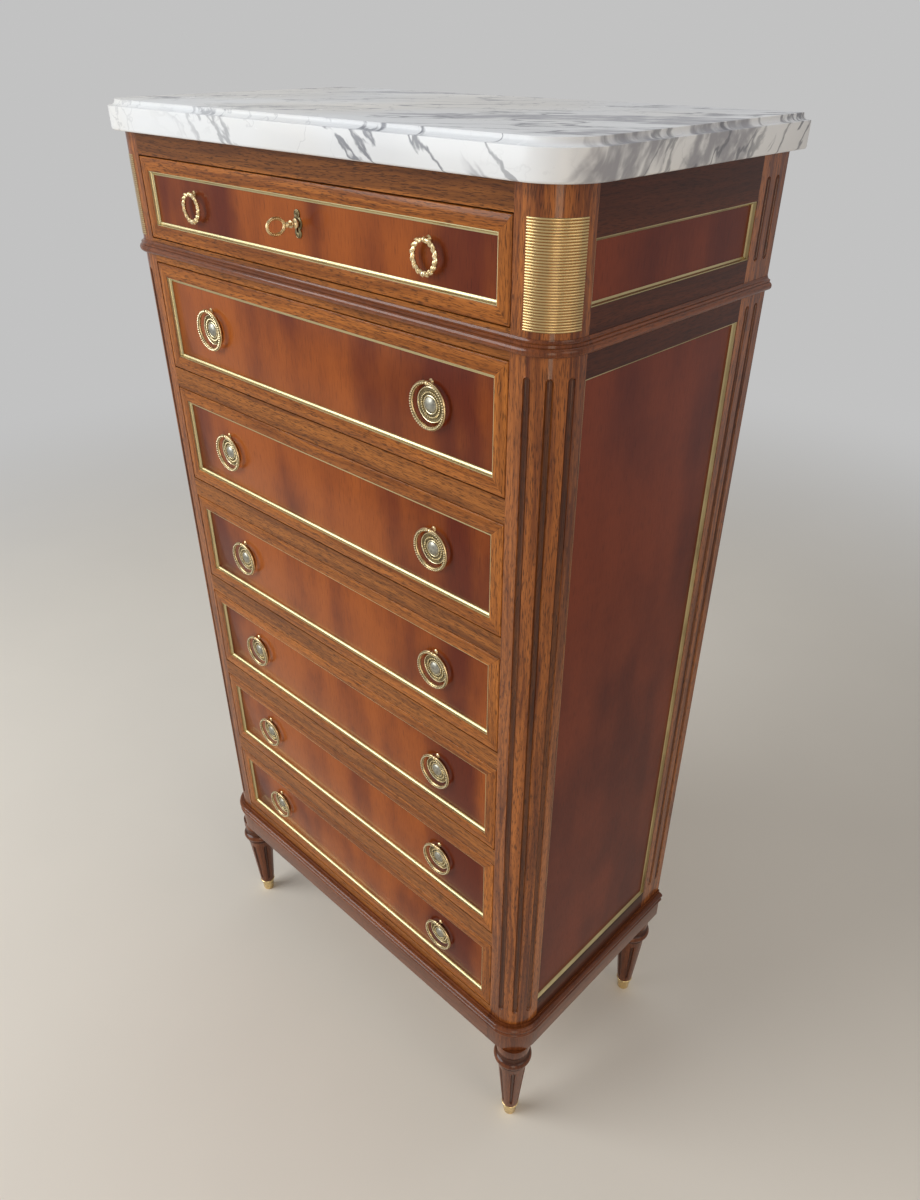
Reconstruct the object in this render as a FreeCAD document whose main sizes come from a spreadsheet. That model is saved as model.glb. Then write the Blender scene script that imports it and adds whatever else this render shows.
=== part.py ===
import FreeCAD, Part
import math
import os

import Sketcher

# A Louis XVI style semainier: a tall chest of seven drawers under a marble top.
# Millimetres. +Z is up, the drawers face -Y, and the floor is z = 0. The origin is the middle of the
# footprint, which reaches from the key's bow in front to the marble's rear edge.

V = FreeCAD.Vector
doc = FreeCAD.newDocument("Semainier")

# ---------------------------------------------------------------------------------------------
# Driving dimensions: (name, value, what it is)
# ---------------------------------------------------------------------------------------------
DRIVING = [
    # the case
    ("case_width", 726, "across the two sides"),
    ("case_depth", 377, "front face to rear face"),
    ("key_reach", 37, "how far the key's bow stands out of the front face"),
    # heights, from the floor up
    ("foot_height", 204, "floor to the plinth's underside"),
    ("plinth_height", 62, "plinth with its beads"),
    ("bottom_rail", 15, "front rail under the lowest drawer"),
    ("drawer_opening", 141, "height of the six lower openings"),
    ("divider", 27.7, "front rail between two lower drawers"),
    ("girdle_rail", 28.8, "front rail behind the girdle moulding"),
    ("frieze_opening", 97, "height of the top drawer's opening"),
    ("top_rail", 25.7, "front rail under the marble"),
    ("marble_thickness", 33, "slab"),
    # marble
    ("marble_front", 14, "overhang over the front"),
    ("marble_side", 16, "overhang over each side"),
    ("marble_back", 3, "overhang over the back"),
    ("marble_corner", 54, "corner radius of the slab"),
    ("marble_step", 9, "how far the upper step stands back"),
    ("marble_cove", 6, "radius of the cove under the top arris"),
    ("marble_arris", 0.5, "flat over the cove"),
    ("marble_round", 2.5, "easing of the lower edge"),
    # front posts
    ("corner_radius", 40, "quarter round of the post"),
    ("post_front_flat", 13.5, "flat of the post beside its round, in front"),
    ("post_side_flat", 6.5, "flat of the post beside its round, at the side"),
    ("post_turn", 3, "degrees that flutes and plate turn towards the front from the post's diagonal"),
    ("flute_radius", 4.2, "gouge of a flute"),
    ("flute_outset", 0.8, "centre of the gouge outside the face"),
    ("flute_run", 3.4, "length of a flute's rising end"),
    ("flute_tip", 1.7, "radius of the gouge at that end"),
    ("flute_spread", 31.5, "degrees between two flutes of a post"),
    ("flute_foot", 26, "flute's lower end over the plinth"),
    ("flute_head", 20, "flute's upper end under the girdle"),
    # ribbed plates
    ("plate_angle", 81, "degrees of the round that a plate covers"),
    ("plate_inset", 1.6, "depth of the pocket for a plate"),
    ("plate_relief", 0.6, "how far its ribs stand out of the round"),
    ("plate_margin", 1, "plate ends inside the drawer opening"),
    ("pocket_reach", 5, "pocket's cutter outside the round"),
    # sides
    ("stile_width", 52.5, "rear stile seen from the side"),
    ("frame_thickness", 24, "side frame"),
    ("stile_flute_pitch", 19, "between the two flutes of a stile"),
    ("stile_flute_foot", 5, "lower flutes of a stile over the lower panel's foot"),
    ("stile_flute_head", 14, "their upper ends over that panel's head"),
    ("frieze_flute_foot", 4, "upper flutes of a stile under the frieze panel's foot"),
    ("frieze_flute_head", 22, "their upper ends over that panel's head"),
    ("side_top_rail", 45.5, "side rail under the marble"),
    ("side_frieze_panel", 58, "height of the upper side opening"),
    ("side_head", 26, "side rail showing under the girdle"),
    ("side_foot_rail", 36, "side rail over the plinth"),
    ("panel_thickness", 9, "side panel"),
    ("panel_recess", 4.5, "side panel behind the frame's face"),
    ("panel_tongue", 7, "panel edge held in its groove"),
    ("groove_play", 1, "room at the bottom of a groove"),
    ("side_trim_width", 3.5, "brass moulding of the side panels"),
    # inside
    ("rail_depth", 60, "front rails, front to back"),
    ("runner_ledge", 14, "width that carries a drawer side"),
    ("runner_thickness", 15, "runner under the drawer"),
    ("guide_height", 18, "guide over the runner"),
    ("stop_length", 12, "block at the runner's rear end"),
    ("board_thickness", 12, "bottom board and sub-top"),
    ("back_thickness", 8, "back panel"),
    ("back_rebate", 12, "rebate of the rear stiles"),
    # girdle moulding
    ("girdle_height", 15, "moulding round the case"),
    ("girdle_rise", 9, "its lower edge over the second drawer's opening"),
    ("girdle_reach", 2.5, "root of its torus"),
    ("girdle_torus", 4.5, "radius of its torus"),
    ("girdle_fillet", 4, "reach of the fillet over the torus"),
    ("girdle_fillet_height", 2.5, "height of that fillet"),
    # plinth
    ("plinth_thickness", 20, "plinth rails"),
    ("plinth_reach", 5, "plinth face in front of the case"),
    ("plinth_face", 38, "plain part under the beads"),
    ("lower_bead", 4, "radius"),
    ("upper_bead", 5, "radius"),
    ("bead_fillet", 1, "fillet between the beads"),
    ("upper_bead_set", 0.5, "upper bead behind the lower one"),
    ("plinth_top_set", 2.5, "strip over the beads behind the plinth's face"),
    # feet
    ("foot_inset", 24, "axis of a front foot inside the case's front and side"),
    ("rear_foot_inset", 27, "axis of a rear foot inside the case's back"),
    ("drum_radius", 26.5, "drum under the plinth"),
    ("drum_height", 16, "of that drum"),
    ("throat_radius", 24.5, "hollow part under the drum"),
    ("throat_height", 14, "of that part"),
    ("throat_splay", 1.5, "height of its splayed ends"),
    ("collar_radius", 30, "widest ring"),
    ("collar_bead", 8, "half height of the widest ring"),
    ("neck_radius", 23.5, "groove under it"),
    ("neck_length", 2, "height of that groove"),
    ("small_ring", 2.5, "half height of the ring under the neck"),
    ("small_ring_radius", 25.3, "of that ring"),
    ("shaft_top", 23.4, "radius of the taper at its top"),
    ("shaft_bottom", 12.4, "radius of the taper at the sabot"),
    ("foot_flute_share", 0.16, "half width of a foot's flute as a share of the taper's radius"),
    ("foot_flute_head", 11, "flute's upper end under the small ring"),
    ("foot_flute_foot", 21, "flute's lower end over the sabot"),
    ("sabot_height", 17, "brass shoe"),
    ("sabot_top", 10.5, "its radius under the rim"),
    ("sabot_bottom", 8.5, "its radius at the floor"),
    ("sabot_rim", 12.2, "radius of its rim"),
    ("sabot_rim_height", 4, "of that rim"),
    ("sabot_rim_splay", 1, "of the rim's edges"),
    ("sabot_tenon", 5, "radius of the wooden pin in it"),
    ("foot_tenon", 12, "radius of the pin in the plinth"),
    ("foot_tenon_length", 30, "length of that pin"),
    # drawers
    ("side_gap", 1.2, "drawer front to post"),
    ("upper_gap", 1.5, "drawer front to the rail above"),
    ("lower_gap", 1, "drawer front to the rail below"),
    ("slide_gap", 0.3, "drawer side to its runner"),
    ("frame_width", 17, "mitred frame of a lower drawer"),
    ("frieze_frame_width", 16, "mitred frame of the top drawer"),
    ("frame_relief", 5, "frame in front of the panel"),
    ("front_board", 15, "board behind the frame"),
    ("frame_arris", 1, "worn outer arris of that frame"),
    ("trim_width", 4, "brass moulding of the drawer panels"),
    ("trim_lip", 1, "flat front edge of a brass moulding"),
    ("trim_set", 0.5, "that edge behind the frame's face"),
    ("stop_gap", 0.5, "drawer to its stops"),
    ("box_side", 12, "drawer side thickness"),
    ("box_back", 10, "drawer back thickness"),
    ("box_bottom", 6, "drawer bottom thickness"),
    ("box_bottom_rise", 8, "bottom over the sides' lower edge"),
    ("box_head_room", 10, "sides lower than the front"),
    # pulls
    ("pull_offset", 201, "from the middle to a pull"),
    ("pull_rise", 0.5, "lower pulls over the panel's middle"),
    ("frieze_pull_drop", 1.5, "top pulls under the panel's middle"),
    ("ring_outer", 26.5, "radius of a lower ring"),
    ("ring_band", 4.5, "width of its band"),
    ("frieze_ring_outer", 18, "radius of a top ring"),
    ("frieze_ring_band", 5, "width of its band"),
    ("ring_thickness", 5, "front to back"),
    ("ring_stand", 6.5, "middle of a ring in front of the panel"),
    ("ring_pin", 1.3, "radius of the pin through the post"),
    ("pin_play", 0.08, "running clearance round the pin"),
    ("pin_hold", 2, "length of the pin inside the ring's ends"),
    ("pull_post", 2.5, "radius of the post"),
    ("post_nose", 2.4, "post in front of the pin"),
    ("ring_gap", 3.5, "half width of the ring's opening at the post"),
    ("rosette_gap", 1.8, "backplate to the post over it"),
    ("rosette_plate", 2, "thickness of its rim"),
    ("rosette_rim", 3.5, "width of its rim round the beaded step"),
    ("rosette_step_height", 1.6, "height of that step"),
    ("dome_radius", 9, "dome's foot"),
    ("dome_height", 2, "dome over the step"),
    # lock and key
    ("key_rise", 4, "key over the top drawer's middle"),
    ("key_shank", 2.3, "radius"),
    ("keyhole_play", 0.5, "round the shank"),
    ("bow_length", 25.6, "along the key"),
    ("bow_height", 19.7, "across the key"),
    ("bow_band", 3.6, "width of the bow's ring"),
    ("bow_thickness", 3.2, "of the bow's ring"),
    ("collar_length", 9, "turned collar of the key"),
    ("key_collar", 5, "its radius"),
    ("bit_drop", 9, "bit's reach from the key's axis"),
    ("bit_width", 2.2, "thickness of the bit"),
    ("bit_length", 6, "bit along the key"),
    ("key_end_room", 1, "shank's end to the lock's rear wall, and to the bit"),
    ("key_collar_gap", 1, "collar to the escutcheon"),
    ("plate_thickness", 1.6, "escutcheon"),
    ("plate_middle_lobe", 7.5, "radius of the escutcheon round the keyhole"),
    ("plate_upper_lobe", 4.5, "radius of its upper end"),
    ("plate_upper_rise", 9.5, "centre of that end over the key"),
    ("plate_lower_lobe", 5.5, "radius of its lower end"),
    ("plate_lower_drop", 10, "centre of that end under the key"),
    ("lock_width", 56, "case"),
    ("lock_height", 56, "case"),
    ("lock_depth", 12, "case"),
    ("lock_wall", 1.5, "case"),
    ("bolt_width", 20, "bolt"),
    ("bolt_thickness", 3.6, "bolt"),
    ("bolt_play", 0.25, "round the bolt"),
    ("bolt_throw", 9, "travel"),
    ("bolt_clear", 1, "bolt over the bit's circle"),
    ("mortise_play", 1, "mortise round the bolt"),
    ("mortise_room", 2, "mortise over the thrown bolt"),
]
LOWER_DRAWERS = 6
DRAWERS = range(1, LOWER_DRAWERS + 2)  # 1 is the frieze drawer, 7 the lowest
# Small round pieces are drawn with flats, which keeps their meshes light.
RING_SIDES = 20
TURNED_SIDES = 12
PIN_SIDES = 8
GOUGE_SIDES = 8
FOOT_FLUTES = 6
HOLLOW_BEND = 0.3  # how hollow a brass moulding is: 0.5 would be a straight splay
SIDES = {"left": -1, "right": 1}


# ---------------------------------------------------------------------------------------------
# Sizes that stay bound to the sheet
# ---------------------------------------------------------------------------------------------
class Size:
    """A length with its expression, so that sums of sizes stay bound to the sheet."""

    def __init__(self, value, text=None):
        self.value = float(value)
        self.text = text or repr(float(value))

    def _with(self, other, sign, result):
        other = size(other)
        return Size(result(self.value, other.value), f"({self.text} {sign} {other.text})")

    def __add__(self, other):
        return self._with(other, "+", lambda a, b: a + b)

    def __sub__(self, other):
        return self._with(other, "-", lambda a, b: a - b)

    def __mul__(self, other):
        return self._with(other, "*", lambda a, b: a * b)

    def __truediv__(self, other):
        return self._with(other, "/", lambda a, b: a / b)

    def __radd__(self, other):
        return size(other) + self

    def __rsub__(self, other):
        return size(other) - self

    def __rmul__(self, other):
        return size(other) * self

    def __neg__(self):
        return Size(0) - self

    def __float__(self):
        return self.value


def size(value):
    return value if isinstance(value, Size) else Size(value)


def cosine(angle):
    return Size(math.cos(math.radians(float(angle))), f"cos({size(angle).text})")


def sine(angle):
    return Size(math.sin(math.radians(float(angle))), f"sin({size(angle).text})")


class Sheet:
    """The spreadsheet of driving dimensions, read as sizes: dims.case_width."""

    def __init__(self, rows):
        self.sheet = doc.addObject("Spreadsheet::Sheet", "Sizes")
        for row, (name, value, note) in enumerate(rows, start=1):
            self.sheet.set(f"A{row}", name)
            self.sheet.set(f"B{row}", str(value))
            self.sheet.set(f"C{row}", note)
            self.sheet.setAlias(f"B{row}", name)
            setattr(self, name, Size(value, f"Sizes.{name}"))


dims = Sheet(DRIVING)
doc.recompute()

half_width = dims.case_width / 2
front = (dims.key_reach - dims.case_depth - dims.marble_back) / 2  # the case's front face
back = front + dims.case_depth
post_front = dims.corner_radius + dims.post_front_flat
post_side = dims.corner_radius + dims.post_side_flat
opening_half = half_width - post_front
plinth_top = dims.foot_height + dims.plinth_height
first_opening = plinth_top + dims.bottom_rail
frieze_bottom = (
    first_opening
    + dims.drawer_opening * LOWER_DRAWERS
    + dims.divider * (LOWER_DRAWERS - 1)
    + dims.girdle_rail
)
case_top = frieze_bottom + dims.frieze_opening + dims.top_rail
girdle_bottom = frieze_bottom - dims.girdle_rail + dims.girdle_rise
girdle_top = girdle_bottom + dims.girdle_height
post_axis_x = half_width - dims.corner_radius  # centre of the post's quarter round
post_axis_y = front + dims.corner_radius
stile_front = back - dims.stile_width
inner_half = half_width - dims.frame_thickness
back_panel_front = back - dims.back_thickness
plinth_inner = half_width + dims.plinth_reach - dims.plinth_thickness
board_face = front + dims.frame_relief  # the drawer panels' front
box_front = board_face + dims.front_board
box_rear = back_panel_front - dims.stop_length - dims.stop_gap


def opening_bottom(drawer):
    if drawer == 1:
        return frieze_bottom
    return first_opening + (dims.drawer_opening + dims.divider) * (DRAWERS[-1] - drawer)


def opening_height(drawer):
    return dims.frieze_opening if drawer == 1 else dims.drawer_opening


# ---------------------------------------------------------------------------------------------
# Ways of making a piece
# ---------------------------------------------------------------------------------------------
nodes = []


def bind(item, **properties):
    """Binds properties to sizes. Two underscores stand for the dot of a sub-property."""
    for name, value in properties.items():
        item.setExpression(name.replace("__", "."), size(value).text)
    return item


def place(item, x=0, y=0, z=0):
    return bind(item, Placement__Base__x=x, Placement__Base__y=y, Placement__Base__z=z)


def box(name, low, high):
    """A box between two corners."""
    item = doc.addObject("Part::Box", name)
    lengths = [size(b) - size(a) for a, b in zip(low, high)]
    bind(item, Length=lengths[0], Width=lengths[1], Height=lengths[2])
    return place(item, *low)


def turn(item, axis, degrees):
    item.Placement = FreeCAD.Placement(item.Placement.Base, FreeCAD.Rotation(axis, degrees))
    return item


def rod(name, radius, length, x=0, y=0, z=0, along="Z", angle=None):
    """A cylinder whose end's centre is at x, y, z and which runs along +Z or -Y."""
    item = doc.addObject("Part::Cylinder", name)
    bind(item, Radius=radius, Height=length)
    if angle is not None:
        bind(item, Angle=angle)
    if along == "-Y":
        turn(item, V(1, 0, 0), 90)
    return place(item, x, y, z)


def prism(name, sides, radius, length, x, y, z):
    """A regular prism that runs along -Y from x, y, z."""
    item = doc.addObject("Part::Prism", name)
    item.Polygon = sides
    bind(item, Circumradius=radius, Height=length)
    turn(item, V(1, 0, 0), 90)
    return place(item, x, y, z)


def bead(reach, low, radius):
    """Corners of a half-round bead, cut as four flats, on an upright face."""
    flat = radius * cosine(45)
    return [
        (reach, low),
        (reach + flat, low + radius - flat),
        (reach + radius, low + radius),
        (reach + flat, low + radius + flat),
        (reach, low + radius * 2),
    ]


def fused(name, parts):
    item = doc.addObject("Part::MultiFuse", name)
    item.Shapes = parts
    return item


def without(name, base, tool):
    item = doc.addObject("Part::Cut", name)
    item.Base = base
    item.Tool = tool
    return item


def mirrored(item):
    """The same piece on the other side of the case."""
    twin = doc.addObject("Part::Mirroring", item.Name + "_mirrored")
    twin.Source = item
    twin.Normal = V(1, 0, 0)
    return twin


def shaped(name, shape, x=0, y=0, z=0):
    """A piece whose shape is computed here, then placed."""
    item = doc.addObject("Part::Feature", name)
    item.Shape = shape
    return place(item, x, y, z)


def node(name, *parts):
    """One named node of the assembly, from one or more separate pieces."""
    if len(parts) == 1:
        item = parts[0]
    else:
        item = doc.addObject("Part::Compound", "node_" + name)
        item.Links = list(parts)
    item.Label = name
    nodes.append(item)
    return item


def arc_between(start, end, radius):
    """The arc from start to end, to the left of the way for a positive radius. Says if it is reversed."""
    chord = end - start
    bow = abs(radius) ** 2 - (chord.Length / 2) ** 2
    middle = (start + end) / 2
    normal = V(-chord.y, chord.x, 0).normalize()
    centre = middle + normal * math.sqrt(max(bow, 0)) * math.copysign(1, radius)
    ends = [math.atan2(p.y - centre.y, p.x - centre.x) for p in (start, end)]
    if radius < 0:
        ends.reverse()
    circle = Part.Circle(centre, V(0, 0, 1), abs(radius))
    return Part.ArcOfCircle(circle, *ends), radius < 0


def profile(body, name, plane, corners, lift=None):
    """A closed, fully constrained sketch. A corner is (x, y) or (x, y, radius of the arc to the next)."""
    sketch = body.newObject("Sketcher::SketchObject", name)
    origin = [o for o in body.Origin.OriginFeatures if o.Role == plane][0]
    sketch.AttachmentSupport = (origin, "")
    sketch.MapMode = "FlatFace"
    if lift is not None:
        bind(sketch, AttachmentOffset__Base__z=lift)
    points = [V(float(c[0]), float(c[1]), 0) for c in corners]
    starts, ends = [], []
    for index, corner in enumerate(corners):
        start = points[index]
        end = points[(index + 1) % len(points)]
        if len(corner) == 3:
            edge, reversed_arc = arc_between(start, end, float(corner[2]))
            sketch.addGeometry(edge, False)
            starts.append((index, 2 if reversed_arc else 1))
            ends.append((index, 1 if reversed_arc else 2))
        else:
            sketch.addGeometry(Part.LineSegment(start, end), False)
            starts.append((index, 1))
            ends.append((index, 2))
    for index, corner in enumerate(corners):
        sketch.addConstraint(Sketcher.Constraint("Coincident", *ends[index - 1], *starts[index]))
        for kind, value in (("DistanceX", size(corner[0])), ("DistanceY", size(corner[1]))):
            number = sketch.addConstraint(
                Sketcher.Constraint(kind, -1, 1, *starts[index], value.value)
            )
            sketch.setExpression(f"Constraints[{number}]", value.text)
        if len(corner) == 3 and not is_half_circle(corner, points, index):
            radius = size(corner[2])
            if radius.value < 0:
                radius = -radius
            number = sketch.addConstraint(Sketcher.Constraint("Radius", index, radius.value))
            sketch.setExpression(f"Constraints[{number}]", radius.text)
        elif len(corner) == 3:
            sketch.addConstraint(
                Sketcher.Constraint("Symmetric", index, 1, index, 2, index, 3)
            )
    return sketch


def is_half_circle(corner, points, index):
    """A half circle is held by its ends: its centre lies midway between them."""
    chord = points[(index + 1) % len(points)] - points[index]
    return abs(chord.Length - 2 * abs(float(corner[2]))) < 1e-6


def new_body(name):
    return doc.addObject("PartDesign::Body", name)


def padded(name, plane, corners, length, lift=None):
    """A body: an outline padded along its plane's normal."""
    body = new_body(name)
    sketch = profile(body, name + "_outline", plane, corners, lift)
    pad = body.newObject("PartDesign::Pad", name + "_pad")
    pad.Profile = sketch
    bind(pad, Length=length)
    sketch.Visibility = False
    return body


def turned(name, corners, x, y, angle=360, start=0):
    """A body: an outline (radius, height) turned about the upright axis at x, y, from start degrees."""
    body = new_body(name)
    sketch = profile(body, name + "_outline", "XZ_Plane", corners)
    revolution = body.newObject("PartDesign::Revolution", name + "_turning")
    revolution.Profile = sketch
    revolution.ReferenceAxis = (sketch, ["V_Axis"])
    bind(revolution, Angle=angle)
    turn(body, V(0, 0, 1), start)
    return place(body, x, y)


def turned_flats(name, outline, x, y, sides=TURNED_SIDES):
    """A turned piece drawn with flats round the upright axis at x, y.

    outline lists (radius, height) from its lower face to its upper face.
    """
    levels = [
        polygon(sides, float(radius), V(0, 0, float(height))) for radius, height in outline
    ]
    return shaped(name, stacked(levels), x, y)


def polygon(sides, radius, centre):
    """Corners of a level regular polygon, the first of them on +X."""
    turns = [2 * math.pi * side / sides for side in range(sides)]
    return [centre + V(radius * math.cos(a), radius * math.sin(a), 0) for a in turns]


def stacked(levels):
    """The solid through a pile of polygons with the same number of corners."""
    faces = [flat_face(*levels[0]), flat_face(*levels[-1])]
    for lower, upper in zip(levels, levels[1:]):
        for side in range(len(lower)):
            before = side - 1
            faces.append(flat_face(lower[before], lower[side], upper[side], upper[before]))
    return closed_solid(faces)


def flat_face(*points):
    return Part.Face(Part.makePolygon([*points, points[0]]))


def closed_solid(faces):
    solid = Part.Solid(Part.Shell(faces))
    if solid.Volume < 0:
        solid.reverse()
    return solid


def mitred_frame(width, height, section):
    """Four mitred strips round a rectangle in the XZ plane.

    section is a closed outline of (distance in from the rectangle, depth along +Y).
    """
    corners = [(-1, -1), (1, -1), (1, 1), (-1, 1)]

    def at_corner(corner):
        sx, sz = corner
        return [V(sx * (width / 2 - a), d, sz * (height / 2 - a)) for a, d in section]

    strips = []
    for index, corner in enumerate(corners):
        near = at_corner(corner)
        far = at_corner(corners[(index + 1) % 4])
        faces = [flat_face(*near), flat_face(*far)]
        for edge in range(len(section)):
            before = edge - 1
            faces.append(flat_face(near[before], near[edge], far[edge], far[before]))
        strips.append(closed_solid(faces))
    return Part.makeCompound(strips)


def brass_section(start, width, relief):
    """(distance in, depth) of a brass moulding in the angle of a frame: flat lip, then a hollow."""
    lip = float(dims.trim_set)
    hollow = start + float(dims.trim_lip)
    end = start + float(width)
    bend = (hollow * (1 - HOLLOW_BEND) + end * HOLLOW_BEND, lip + (float(relief) - lip) * (1 - HOLLOW_BEND))
    return [(start, float(relief)), (start, lip), (hollow, lip), bend, (end, float(relief))]


def gouge(name, x, y, low, high):
    """The tool of an upright flute: a rod that tapers at both ends."""
    run = dims.flute_run
    outline = [
        (dims.flute_tip, low), (dims.flute_radius, low + run),
        (dims.flute_radius, high - run), (dims.flute_tip, high),
    ]
    return turned_flats(name, outline, x, y, GOUGE_SIDES)


# ---------------------------------------------------------------------------------------------
# Marble top
# ---------------------------------------------------------------------------------------------
def slab_outline(inset):
    """The slab's outline: round front corners, square rear ones."""
    side = half_width + dims.marble_side - inset
    low = front - dims.marble_front + inset
    high = back + dims.marble_back
    radius = dims.marble_corner - inset
    return [
        (-side, high),
        (-side, low + radius, radius),
        (-side + radius, low),
        (side - radius, low, radius),
        (side, low + radius),
        (side, high),
    ]


def marble_top():
    body = new_body("marble")
    steps = [
        ("slab", Size(0), dims.marble_thickness - dims.marble_cove - dims.marble_arris, case_top),
    ]
    top_lift = case_top + steps[0][2]
    steps.append(("step", dims.marble_step, dims.marble_cove + dims.marble_arris, top_lift))
    for name, inset, thickness, lift in steps:
        sketch = profile(body, "marble_" + name, "XY_Plane", slab_outline(inset), lift)
        pad = body.newObject("PartDesign::Pad", "marble_" + name + "_pad")
        pad.Profile = sketch
        bind(pad, Length=thickness)
        doc.recompute()
    rear = float(back + dims.marble_back)

    def shown_edges(shape, height, inset):
        """The front and side edges of one outline at one height."""
        side = float(half_width + dims.marble_side) - inset
        low = float(front - dims.marble_front) + inset
        found = []
        for index, edge in enumerate(shape.Edges, start=1):
            limits = edge.BoundBox
            level = abs(limits.ZMin - height) < 1e-4 and abs(limits.ZMax - height) < 1e-4
            rear_edge = limits.YMin > rear - 1e-4
            within = max(abs(limits.XMin), abs(limits.XMax)) < side + 1e-4 and limits.YMin > low - 1e-4
            if level and not rear_edge and within:
                found.append(f"Edge{index}")
        return found

    cove_edges = shown_edges(body.Shape, float(top_lift), float(dims.marble_step))
    cove = body.newObject("PartDesign::Fillet", "marble_cove_fillet")
    cove.Base = (pad, cove_edges)
    bind(cove, Radius=dims.marble_cove)
    body.Tip = cove
    doc.recompute()
    lower_edges = shown_edges(body.Shape, float(case_top), 0)
    lower = body.newObject("PartDesign::Chamfer", "marble_lower_edge")
    lower.Base = (cove, lower_edges)
    bind(lower, Size=dims.marble_round)
    body.Tip = lower
    return body


node("marble_top", marble_top())


# ---------------------------------------------------------------------------------------------
# Front posts, rear stiles and the framed sides
# ---------------------------------------------------------------------------------------------
def corner_outline(reach):
    """The right front corner of the case, its faces moved out by reach, back to the post's inner faces."""
    radius = dims.corner_radius + reach
    return [
        (opening_half, front - reach),
        (post_axis_x, front - reach, radius),
        (half_width + reach, post_axis_y),
        (half_width + reach, front + post_side),
        (opening_half, front + post_side),
    ]


groove_front = half_width - dims.panel_recess  # the side panels' outer face
groove_back = groove_front - dims.panel_thickness
frieze_panel_top = case_top - dims.side_top_rail
frieze_panel_bottom = frieze_panel_top - dims.side_frieze_panel
lower_panel_top = girdle_bottom - dims.side_head
lower_panel_bottom = plinth_top + dims.side_foot_rail
groove_depth = dims.panel_tongue + dims.groove_play
PANEL_HEIGHTS = {
    "frieze": (frieze_panel_bottom, frieze_panel_top),
    "lower": (lower_panel_bottom, lower_panel_top),
}


def panel_space(name):
    """The room that one side panel and its grooves take, on the right."""
    low, high = PANEL_HEIGHTS[name]
    return box(
        f"{name}_panel_space",
        (groove_back, front + post_side - groove_depth, low - groove_depth),
        (groove_front, stile_front + groove_depth, high + groove_depth),
    )


panel_spaces = fused("panel_spaces", [panel_space(name) for name in PANEL_HEIGHTS])


post_facing = -45 - float(dims.post_turn)  # degrees: the way that flutes and plate face


def plate_pocket():
    """The pocket in the post's round for the ribbed plate."""
    low = frieze_bottom + dims.plate_margin
    height = dims.frieze_opening - 2 * dims.plate_margin
    depth_radius = dims.corner_radius - dims.plate_inset
    wide = rod("pocket_wide", dims.corner_radius + dims.pocket_reach, height, post_axis_x,
               post_axis_y, low, angle=dims.plate_angle)
    turn(wide, V(0, 0, 1), post_facing - float(dims.plate_angle) / 2)
    core = rod("pocket_core", depth_radius, height, post_axis_x, post_axis_y, low)
    return without("plate_pocket", wide, core)


def front_post():
    stem = padded("post_stem", "XY_Plane", corner_outline(Size(0)), case_top - plinth_top, plinth_top)
    gouge_radius = dims.corner_radius + dims.flute_outset
    tools = []
    for number in (-1, 0, 1):
        angle = dims.flute_spread * number - dims.post_turn - 45
        tools.append(gouge(
            f"post_flute_{number + 2}",
            post_axis_x + gouge_radius * cosine(angle),
            post_axis_y + gouge_radius * sine(angle),
            plinth_top + dims.flute_foot, girdle_bottom - dims.flute_head,
        ))
    tools.append(plate_pocket())
    tools.append(panel_spaces)
    return without("front_post", stem, fused("post_cuts", tools))


def rear_stile():
    stem = box("stile_stem", (inner_half, stile_front, plinth_top), (half_width, back, case_top))
    rebate = box(
        "stile_rebate",
        (inner_half, back_panel_front, plinth_top),
        (inner_half + dims.back_rebate, back, case_top),
    )
    middle = stile_front + dims.stile_width / 2
    lengths = [
        (lower_panel_bottom + dims.stile_flute_foot, lower_panel_top + dims.stile_flute_head),
        (frieze_panel_bottom - dims.frieze_flute_foot, frieze_panel_top + dims.frieze_flute_head),
    ]
    tools = [rebate, panel_spaces]
    for number, (low, high) in enumerate(lengths, start=1):
        for side, sign in SIDES.items():
            tools.append(gouge(
                f"stile_flute_{number}_{side}",
                half_width + dims.flute_outset, middle + dims.stile_flute_pitch / 2 * sign,
                low, high,
            ))
    return without("rear_stile", stem, fused("stile_cuts", tools))


def side_rails():
    heights = [
        ("side_top_rail", frieze_panel_top, case_top),
        ("side_middle_rail", lower_panel_top, frieze_panel_bottom),
        ("side_bottom_rail", plinth_top, lower_panel_bottom),
    ]
    rails = []
    for name, low, high in heights:
        blank = box(
            name + "_blank",
            (inner_half, front + post_side, low),
            (half_width, stile_front, high),
        )
        rails.append(without(name, blank, panel_spaces))
    return rails


def side_panels():
    tongue = dims.panel_tongue
    panels = []
    for name, (low, high) in PANEL_HEIGHTS.items():
        panels.append(box(
            f"side_{name}_panel",
            (groove_back, front + post_side - tongue, low - tongue),
            (groove_front, stile_front + tongue, high + tongue),
        ))
    return panels


def side_trims():
    """Brass strips in the angle between the side frame and its panels."""
    width = float(stile_front - front - post_side)
    section = brass_section(0, dims.side_trim_width, dims.panel_recess)
    trims = []
    for name, (low, high) in PANEL_HEIGHTS.items():
        shape = mitred_frame(width, float(high - low), section)
        item = shaped(f"side_{name}_trim", shape)
        turn(item, V(0, 0, 1), 90)
        place(item, half_width, (front + post_side + stile_front) / 2, (low + high) / 2)
        trims.append(item)
    return trims


def both_sides(parts):
    return parts + [mirrored(part) for part in parts]


node("front_posts", *both_sides([front_post()]))
node("rear_stiles", *both_sides([rear_stile()]))
node("side_rails", *both_sides(side_rails()))
node("side_panels", *both_sides(side_panels()))
node("side_trims", *both_sides(side_trims()))


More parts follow.
